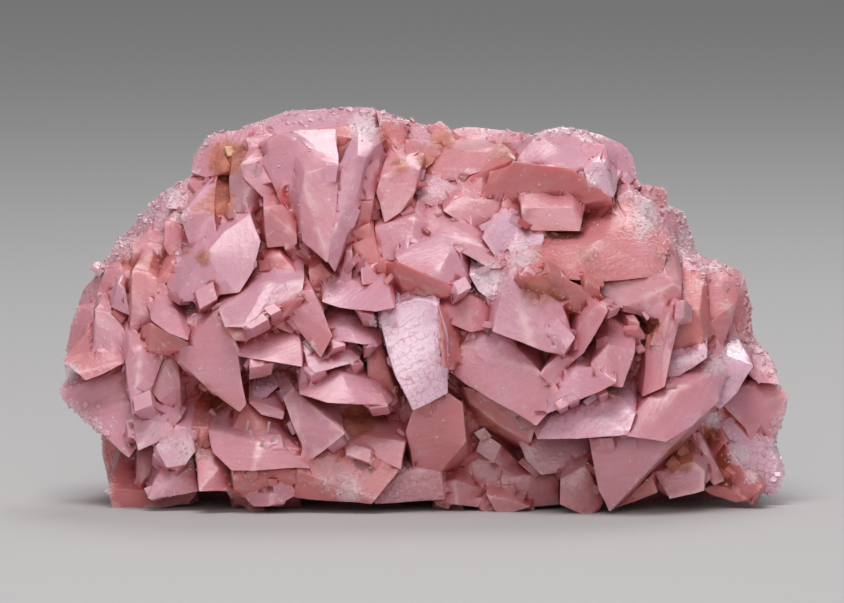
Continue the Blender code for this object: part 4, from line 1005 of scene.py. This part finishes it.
class Flow:
    """A shader socket that can be added, multiplied and mixed like a number or a colour."""

    def __init__(self, tree, socket):
        self.tree = tree
        self.socket = socket

    def node(self, kind, settings, inputs, out=0):
        """Adds a node: type, settings first, then inputs; gives back one of its outputs."""
        added = self.tree.nodes.new(kind)
        for name, value in settings.items():
            setattr(added, name, value)
        for key, value in inputs.items():
            if isinstance(value, Flow):
                self.tree.links.new(value.socket, added.inputs[key])
            else:
                added.inputs[key].default_value = value
        return Flow(self.tree, added.outputs[out])

    def sum(self, operation, first, second=0.0, third=0.0):
        return self.node("ShaderNodeMath", {"operation": operation}, {0: first, 1: second, 2: third})

    def __add__(self, other):
        return self.sum("ADD", self, other)

    def __radd__(self, other):
        return self.sum("ADD", other, self)

    def __sub__(self, other):
        return self.sum("SUBTRACT", self, other)

    def __rsub__(self, other):
        return self.sum("SUBTRACT", other, self)

    def __mul__(self, other):
        return self.sum("MULTIPLY", self, other)

    def __rmul__(self, other):
        return self.sum("MULTIPLY", other, self)

    def __pow__(self, other):
        return self.sum("POWER", self, other)

    def eased(self, low, high):
        """0 below low, 1 above high, eased between."""
        return self.node("ShaderNodeMapRange", {"interpolation_type": "SMOOTHSTEP"},
                         {0: self, 1: low, 2: high})

    def mixed(self, first, second, blend="MIX"):
        """Goes from the first colour to the second with this factor."""
        return self.node("ShaderNodeMix", {"data_type": "RGBA", "blend_type": blend},
                         {0: self, 6: first, 7: second}, 2)


def srgb(red, green, blue):
    """A display colour, 0-255, as the linear colour that shaders take."""
    linear = []
    for part in (red, green, blue):
        value = part / 255.0
        linear.append(value / 12.92 if value <= 0.04045 else ((value + 0.055) / 1.055) ** 2.4)
    return (*linear, 1.0)


PINK = srgb(214, 151, 169)
CORAL = srgb(213, 122, 122)
GROWTH_LINE = srgb(226, 172, 180)
PALE_SPOT = srgb(222, 182, 176)
PAINTED_EDGE_LIGHT = srgb(238, 196, 194)
GREY_ROSE_SHADE = srgb(150, 112, 106)
PAINTED_HOLLOW_SHADE = srgb(160, 50, 48)
PAINTED_GAP_SHADE = srgb(96, 32, 26)
RUST = srgb(214, 130, 98)
DARK_RUST = srgb(150, 64, 32)
GLINT = srgb(240, 220, 226)
PAINTED_PEARL_SHEEN = srgb(238, 200, 220)
FROST_AND_GLINT = srgb(234, 206, 214)
DRUSE_WHITE = srgb(236, 214, 218)
AMBER = srgb(214, 158, 112)
PALE_AMBER = srgb(240, 206, 172)


def carbonate(name, pale, depth):
    """Rhodochrosite: translucent pink, growth-lined, rusty and chalky in patches; with painted shade in
    hollows, gaps and on shaded crystals, painted light on edges, painted glints and painted pearly
    reflections.
    """
    material = bpy.data.materials.new(name)
    material.use_nodes = True
    tree = material.node_tree
    surface = tree.nodes["Principled BSDF"]
    surface.subsurface_method = "BURLEY"
    start = Flow(tree, None)
    place = start.node("ShaderNodeTexCoord", {}, {}, "Object")

    def layer(name, out="Fac"):
        return start.node("ShaderNodeAttribute", {"attribute_name": name}, {}, out)

    lattice = layer("lattice", "Vector")
    tone = layer("tone", "Color")
    parts = tree.nodes.new("ShaderNodeSeparateColor")
    tree.links.new(tone.socket, parts.inputs[0])
    salmon, pearl, grainy = (Flow(tree, parts.outputs[index]) for index in range(3))
    grey = layer("tone", "Alpha")
    own = layer("own")
    # painted shade: hollow is how closed in each point is, and depth sets how strongly this material darkens
    # there
    hollow = layer("hollow") * depth
    rust = layer("rust")
    chalk_and_glint = layer("chalk_and_glint")
    ridge = layer("ridge")

    def cloud(scale, detail=3.0, vector=place, rough=0.55):
        return start.node("ShaderNodeTexNoise", {}, {"Vector": vector, "Scale": scale, "Detail": detail,
                                                     "Roughness": rough}, 0)

    broad = cloud(150.0, 2.0)
    spots = cloud(420.0, 3.0)
    dust_and_glints = cloud(2200.0, 2.0)
    terraces = cloud(0.30, 1.5, lattice)
    terraces = (terraces * 9.0).sum("FLOOR", terraces * 9.0) * 0.11
    drawn_out = start.node("ShaderNodeMapping", {}, {"Vector": lattice, "Scale": (0.25, 1.6, 0.6)})
    lines = cloud(1.1, 2.0, drawn_out, 0.6)
    cells = start.node("ShaderNodeTexVoronoi", {"feature": "DISTANCE_TO_EDGE"},
                       {"Vector": lattice, "Scale": 1.15, "Randomness": 0.55}, 0)
    panes = cells.eased(0.01, 0.10)
    panes = pearl * panes.sum("MAXIMUM", panes, lines.eased(0.46, 0.60))

    # painted shade in part: the salmon tint, high on shaded crystals and low on lit ones, warms the pink to
    # coral; the noise and each crystal's own value vary it at random
    warm = (salmon * 0.75 + broad * 0.9 + own * 0.40 - 0.52).eased(0.0, 1.0)
    colour = warm.mixed(PINK, CORAL)
    colour = (lines.eased(0.45, 0.75) * 0.20).mixed(colour, GROWTH_LINE)
    colour = (spots.eased(0.56, 0.72) * 0.30).mixed(colour, PALE_SPOT)
    # painted highlight: sharp convex edges are lightened, as light shining through thin crystal edges looks
    colour = (ridge.eased(0.05, 0.7) * 0.55).mixed(colour, PAINTED_EDGE_LIGHT)
    # painted shade: greyness dulls the crystals that lie in shade low in the middle to a grey rose
    colour = (grey * 0.75).mixed(colour, GREY_ROSE_SHADE)
    # painted shade: hollows and gaps, where less light reaches, are darkened to deep red and, deepest, to
    # dark red-brown
    colour = (hollow.eased(0.10, 0.60) * 0.90).mixed(colour, PAINTED_HOLLOW_SHADE)
    colour = ((hollow + spots * 0.25).eased(0.60, 1.0) * 0.8).mixed(colour, PAINTED_GAP_SHADE)
    stain = (rust * 1.4 - 0.75 + spots * 1.3 + hollow * 0.4).eased(0.25, 0.80)
    rusty = (spots + hollow * 0.5).eased(0.35, 0.8).mixed(RUST, DARK_RUST)
    colour = (stain * 0.9).mixed(colour, rusty)
    # chalky frost is the real pale druse, and at some zones painted glints
    frost_and_glint = (chalk_and_glint * 1.1 + dust_and_glints * 0.9 + spots * 0.5 - 0.85).eased(0.15, 0.7)
    frost_and_glint = frost_and_glint + grainy * dust_and_glints.eased(0.45, 0.7) * 0.3
    # painted glints: small near-white specks where the fine noise peaks
    colour = ((dust_and_glints * 0.8 + spots * 0.35).eased(0.72, 0.77) * 0.5).mixed(colour, GLINT)
    # painted reflection: the mosaic panes of the pearly faces are lightened to pinkish white, as where they
    # mirror the light
    colour = (panes * 0.85).mixed(colour, PAINTED_PEARL_SHEEN)
    colour = (frost_and_glint * 0.8).mixed(colour, FROST_AND_GLINT)
    colour = start.node("ShaderNodeMix", {"data_type": "RGBA"},
                        {0: pale, 6: colour, 7: DRUSE_WHITE}, 2)
    tree.links.new(colour.socket, surface.inputs["Base Color"])

    gloss = 0.25 - panes * 0.14 + dust_and_glints * 0.20 + stain * 0.25 + hollow * 0.2
    tree.links.new(gloss.sum("MAXIMUM", gloss, 0.16).socket, surface.inputs["Roughness"])
    surface.inputs["IOR"].default_value = 1.65
    surface.inputs["Subsurface Weight"].default_value = 0.0 if pale else 0.55
    surface.inputs["Subsurface Radius"].default_value = (1.0, 0.36, 0.32)
    surface.inputs["Subsurface Scale"].default_value = 1.5 * MM
    surface.inputs["Coat Roughness"].default_value = 0.18
    tree.links.new((panes * 0.6 + 0.2).socket, surface.inputs["Coat Weight"])

    height = lines * 0.14 + terraces * 2.0 + dust_and_glints * (grainy * 0.5 + chalk_and_glint * 0.3 + 0.10)
    bump = tree.nodes.new("ShaderNodeBump")
    bump.inputs["Strength"].default_value = 1.0
    bump.inputs["Distance"].default_value = 0.45 * MM
    tree.links.new(height.socket, bump.inputs["Height"])
    tree.links.new(bump.outputs["Normal"], surface.inputs["Normal"])
    return material


grown.materials.clear()
grown.materials.append(carbonate("pink_carbonate", 0.0, 1.0))
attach(crystal_mass, "root")
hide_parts("rhodochrosite_cluster")


# ---------------------------------------------------------------- young crystals and sugar druse
# Late growth of the same carbonate: small rhombs that sit in the joints between the large crystals, and a
# sugary crust of still smaller ones on the rims and in pale patches. Both are grown fast to the mass.
def scatter_tree(name, material, grain):
    """Geometry Nodes tree that scatters small rhombs over a surface by a density layer."""
    tree = bpy.data.node_groups.new(name, "GeometryNodeTree")
    for label, kind in (("Rock", "Geometry"), ("Spacing", "Float"), ("Density", "Float"),
                        ("Smallest", "Float"), ("Largest", "Float"), ("Seed", "Int")):
        tree.interface.new_socket(label, in_out="INPUT", socket_type="NodeSocket" + kind)
    tree.interface.new_socket("Crystals", in_out="OUTPUT", socket_type="NodeSocketGeometry")

    def add(kind, settings, inputs):
        added = tree.nodes.new(kind)
        for key, value in settings.items():
            setattr(added, key, value)
        for key, value in inputs.items():
            if isinstance(value, bpy.types.NodeSocket):
                tree.links.new(value, added.inputs[key])
            else:
                added.inputs[key].default_value = value
        return added

    entry = add("NodeGroupInput", {}, {})
    cover = add("GeometryNodeInputNamedAttribute", {"data_type": "FLOAT"}, {"Name": name})
    points = add("GeometryNodeDistributePointsOnFaces", {"distribute_method": "POISSON"},
                 {"Mesh": entry.outputs["Rock"], "Distance Min": entry.outputs["Spacing"],
                  "Density Max": entry.outputs["Density"], "Density Factor": cover.outputs["Attribute"],
                  "Seed": entry.outputs["Seed"]})
    if grain:
        block = add("GeometryNodeMeshIcoSphere", {}, {"Radius": 0.5, "Subdivisions": 1})
    else:
        block = add("GeometryNodeMeshCube", {}, {"Size": (1.0, 1.0, 0.42)})
    corner = add("GeometryNodeInputPosition", {}, {})
    split = add("ShaderNodeSeparateXYZ", {}, {0: corner.outputs[0]})
    lean = add("ShaderNodeMath", {"operation": "MULTIPLY"}, {0: split.outputs["Y"], 1: -0.23})
    droop = add("ShaderNodeMath", {"operation": "MULTIPLY"}, {0: split.outputs["Z"], 1: -0.18})
    shift = add("ShaderNodeCombineXYZ", {}, {"X": lean.outputs[0], "Y": droop.outputs[0]})
    rhomb = add("GeometryNodeSetPosition", {},
                {"Geometry": block.outputs["Mesh"], "Offset": shift.outputs[0]})
    turn = add("FunctionNodeRandomValue", {"data_type": "FLOAT_VECTOR"},
               {0: (-0.6, -0.6, 0.0), 1: (0.6, 0.6, 6.283), "Seed": entry.outputs["Seed"]})
    turned = add("FunctionNodeRotateRotation", {"rotation_space": "LOCAL"},
                 {0: points.outputs["Rotation"], 1: turn.outputs[0]})
    size = add("FunctionNodeRandomValue", {"data_type": "FLOAT"},
               {2: entry.outputs["Smallest"], 3: entry.outputs["Largest"], "Seed": entry.outputs["Seed"]})
    grown_on = add("GeometryNodeInstanceOnPoints", {},
                   {"Points": points.outputs["Points"], "Instance": rhomb.outputs["Geometry"],
                    "Rotation": turned.outputs[0], "Scale": size.outputs[1]})
    real = add("GeometryNodeRealizeInstances", {}, {"Geometry": grown_on.outputs["Instances"]})
    coated = add("GeometryNodeSetMaterial", {}, {"Geometry": real.outputs["Geometry"], "Material": material})
    add("NodeGroupOutput", {}, {"Crystals": coated.outputs["Geometry"]})
    return tree


def scattered(name, layer, material, grain, sizes):
    """Crystals scattered over the mass by one of its layers, as a mesh of their own."""
    holder = bpy.data.objects.new(name, grown.copy())
    bpy.context.scene.collection.objects.link(holder)
    spread = holder.modifiers.new(name, "NODES")
    nodes = scatter_tree(layer, material, grain)
    spread.node_group = nodes
    for item in nodes.interface.items_tree:
        if item.in_out == "INPUT" and item.name in sizes:
            spread[item.identifier] = sizes[item.name]
    graph = bpy.context.evaluated_depsgraph_get()
    mesh = bpy.data.meshes.new_from_object(holder.evaluated_get(graph))
    holder.modifiers.clear()
    holder.data = mesh
    mesh.name = name
    spots = np.empty(len(mesh.vertices) * 3)
    mesh.vertices.foreach_get("co", spots)
    mesh.vertices.foreach_set("co", np.clip(spots.reshape(-1, 3), low, high).ravel())
    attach(holder, "root")
    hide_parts("rhodochrosite_cluster")


# the last number of each material sets how strongly it takes the painted shade of the hollows
young_material = carbonate("young_carbonate", 0.0, 0.65)
sugar_material = carbonate("sugar_carbonate", 0.6, 0.3)
scattered("young_crystals", "young_here", young_material, False,
          {"Spacing": 1.0 * MM, "Density": 3.0e5, "Smallest": 0.5 * MM, "Largest": 1.9 * MM, "Seed": 4})
scattered("sugar_druse", "sugar_here", sugar_material, True,
          {"Spacing": 0.30 * MM, "Density": 4.0e6, "Smallest": 0.12 * MM, "Largest": 0.42 * MM, "Seed": 9})
rim_material = carbonate("rim_carbonate", 0.3, 0.3)
scattered("rim_crystals", "rim_here", rim_material, False,
          {"Spacing": 0.35 * MM, "Density": 3.0e6, "Smallest": 0.22 * MM, "Largest": 0.75 * MM, "Seed": 2})


# ---------------------------------------------------------------- small guests
# One amber rhomb of iron-rich carbonate on the upper left shoulder, and a few slivers of pale carbonate that
# stand in the hollow low on the left. All are grown to the mass.
def skin_point(column, line):
    """The point of the mass that lies behind a sheet position."""
    return tree.ray_cast(on_sheet(column, line, -40.0 * MM), INWARD, 100.0 * MM)[0]


def guest(name, blocks, material):
    """Small crystals as one mesh: each a rhomb-faced block given by its corners."""
    shape = bmesh.new()
    for corners in blocks:
        fresh = [shape.verts.new(corner) for corner in corners]
        bmesh.ops.convex_hull(shape, input=fresh)
    bmesh.ops.dissolve_limit(shape, angle_limit=math.radians(2.0), verts=shape.verts[:], edges=shape.edges[:])
    bmesh.ops.bevel(shape, geom=shape.edges[:], offset=0.05 * MM, offset_type="OFFSET", segments=1,
                    profile=0.5, affect="EDGES", clamp_overlap=True)
    bmesh.ops.recalc_face_normals(shape, faces=shape.faces[:])
    mesh = bpy.data.meshes.new(name)
    for corner in shape.verts:
        corner.co = np.clip(corner.co, low, high)
    shape.to_mesh(mesh)
    shape.free()
    mesh.materials.append(material)
    piece = bpy.data.objects.new(name, mesh)
    bpy.context.scene.collection.objects.link(piece)
    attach(piece, "root")
    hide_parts("rhodochrosite_cluster")


amber = bpy.data.materials.new("amber_carbonate")
amber.use_nodes = True
amber_surface = amber.node_tree.nodes["Principled BSDF"]
cloudy = Flow(amber.node_tree, None)
cloudy = cloudy.node("ShaderNodeTexNoise", {}, {
    "Vector": cloudy.node("ShaderNodeTexCoord", {}, {}, "Object"), "Scale": 900.0, "Detail": 3.0}, 0)
amber_colour = cloudy.eased(0.35, 0.7).mixed(AMBER, PALE_AMBER)
amber.node_tree.links.new(amber_colour.socket, amber_surface.inputs["Base Color"])
amber.node_tree.links.new((0.2 + cloudy * 0.2).socket, amber_surface.inputs["Roughness"])
amber_surface.inputs["IOR"].default_value = 1.65
amber_surface.inputs["Subsurface Weight"].default_value = 0.4
amber_surface.inputs["Subsurface Radius"].default_value = (1.0, 0.6, 0.3)
amber_surface.inputs["Subsurface Scale"].default_value = 0.8 * MM

spot = skin_point(230.5, 151.5)
upright = spin_of(-INWARD, RIGHT)
tilted = (-INWARD + UP * 0.45 + RIGHT * 0.25).normalized()
middle = spot - INWARD * 0.9 * MM
guest("amber_rhomb", [rhomb_corners(middle, tilted, upright, 1.0 * MM, 1.35 * MM, 1.9 * MM)], amber)

slivers = []
for column, line, lean, length in ((248, 428, 0.25, 2.0), (253, 436, -0.2, 1.7), (269, 432, 0.15, 2.4),
                                   (274, 440, -0.3, 1.6), (262, 445, 0.5, 1.8)):
    spot = skin_point(column, line)
    grow_way = (UP + RIGHT * lean - INWARD * 0.6).normalized()
    side = grow_way.cross(INWARD).normalized()
    thick = side.cross(grow_way).normalized()
    foot = [spot + (side * a + thick * b) * MM - grow_way * 0.8 * MM
            for a, b in ((-0.16, -0.1), (0.16, -0.1), (0.16, 0.1), (-0.16, 0.1))]
    slivers.append(foot + [corner + grow_way * length * MM + side * 0.05 * MM for corner in foot])
guest("pale_slivers", slivers, sugar_material)


# ---------------------------------------------------------------- the studio
# A plain pale floor and soft light: a large lamp above and a little in front, a broad one straight in front
# and a small one behind. The camera is at the height of the crystals, tilted down by a few degrees.
FRAME_WIDTH = 844.0              # sheet steps across the picture
FRAME_MIDDLE = (422.0, 301.5)
CAMERA_AWAY = 3.0
SENSOR = 36.0

floor_mesh = bpy.data.meshes.new("studio_floor")
floor_shape = bmesh.new()
bmesh.ops.create_grid(floor_shape, x_segments=1, y_segments=1, size=3.0)
floor_shape.to_mesh(floor_mesh)
floor_shape.free()
floor = bpy.data.objects.new("studio_floor", floor_mesh)
bpy.context.scene.collection.objects.link(floor)
paper = bpy.data.materials.new("studio_paper")
paper.use_nodes = True
paper_surface = paper.node_tree.nodes["Principled BSDF"]
paper_surface.inputs["Base Color"].default_value = (0.55, 0.54, 0.53, 1.0)
paper_surface.inputs["Roughness"].default_value = 0.8
floor_mesh.materials.append(paper)

world = bpy.data.worlds.new("studio")
bpy.context.scene.world = world
world.use_nodes = True
sky = world.node_tree.nodes["Background"]
sky.inputs["Color"].default_value = (0.80, 0.82, 0.85, 1.0)
sky.inputs["Strength"].default_value = 0.28

for name, place, target, size, power, tint in (
        ("key", (-0.05, -0.22, 0.60), (0.0, 0.0, 0.02), (0.35, 0.30), 2.2, (1.0, 0.97, 0.98)),
        ("front", (-0.05, -0.90, 0.35), (0.0, 0.0, 0.02), (0.50, 0.40), 2.15, (1.0, 0.97, 0.96)),
        ("back", (0.10, 0.35, 0.45), (0.0, 0.0, 0.03), (0.30, 0.20), 0.9, (0.97, 0.97, 1.0))):
    lamp = bpy.data.lights.new(name, "AREA")
    lamp.shape = "RECTANGLE"
    lamp.size, lamp.size_y = size
    lamp.energy = power
    lamp.color = tint
    stand = bpy.data.objects.new(name, lamp)
    stand.location = place
    stand.rotation_euler = (Vector(target) - Vector(place)).to_track_quat("-Z", "Y").to_euler()
    bpy.context.scene.collection.objects.link(stand)

lens = bpy.data.cameras.new("camera")
lens.sensor_width = SENSOR
lens.lens = SENSOR * CAMERA_AWAY / (FRAME_WIDTH * SHEET_STEP)
lens.clip_start = 0.1
lens.clip_end = 20.0
camera = bpy.data.objects.new("camera", lens)
camera.location = on_sheet(*FRAME_MIDDLE, -CAMERA_AWAY)
camera.rotation_euler = INWARD.to_track_quat("-Z", "Y").to_euler()
bpy.context.scene.collection.objects.link(camera)
bpy.context.scene.camera = camera
bpy.context.scene.view_settings.view_transform = "Standard"
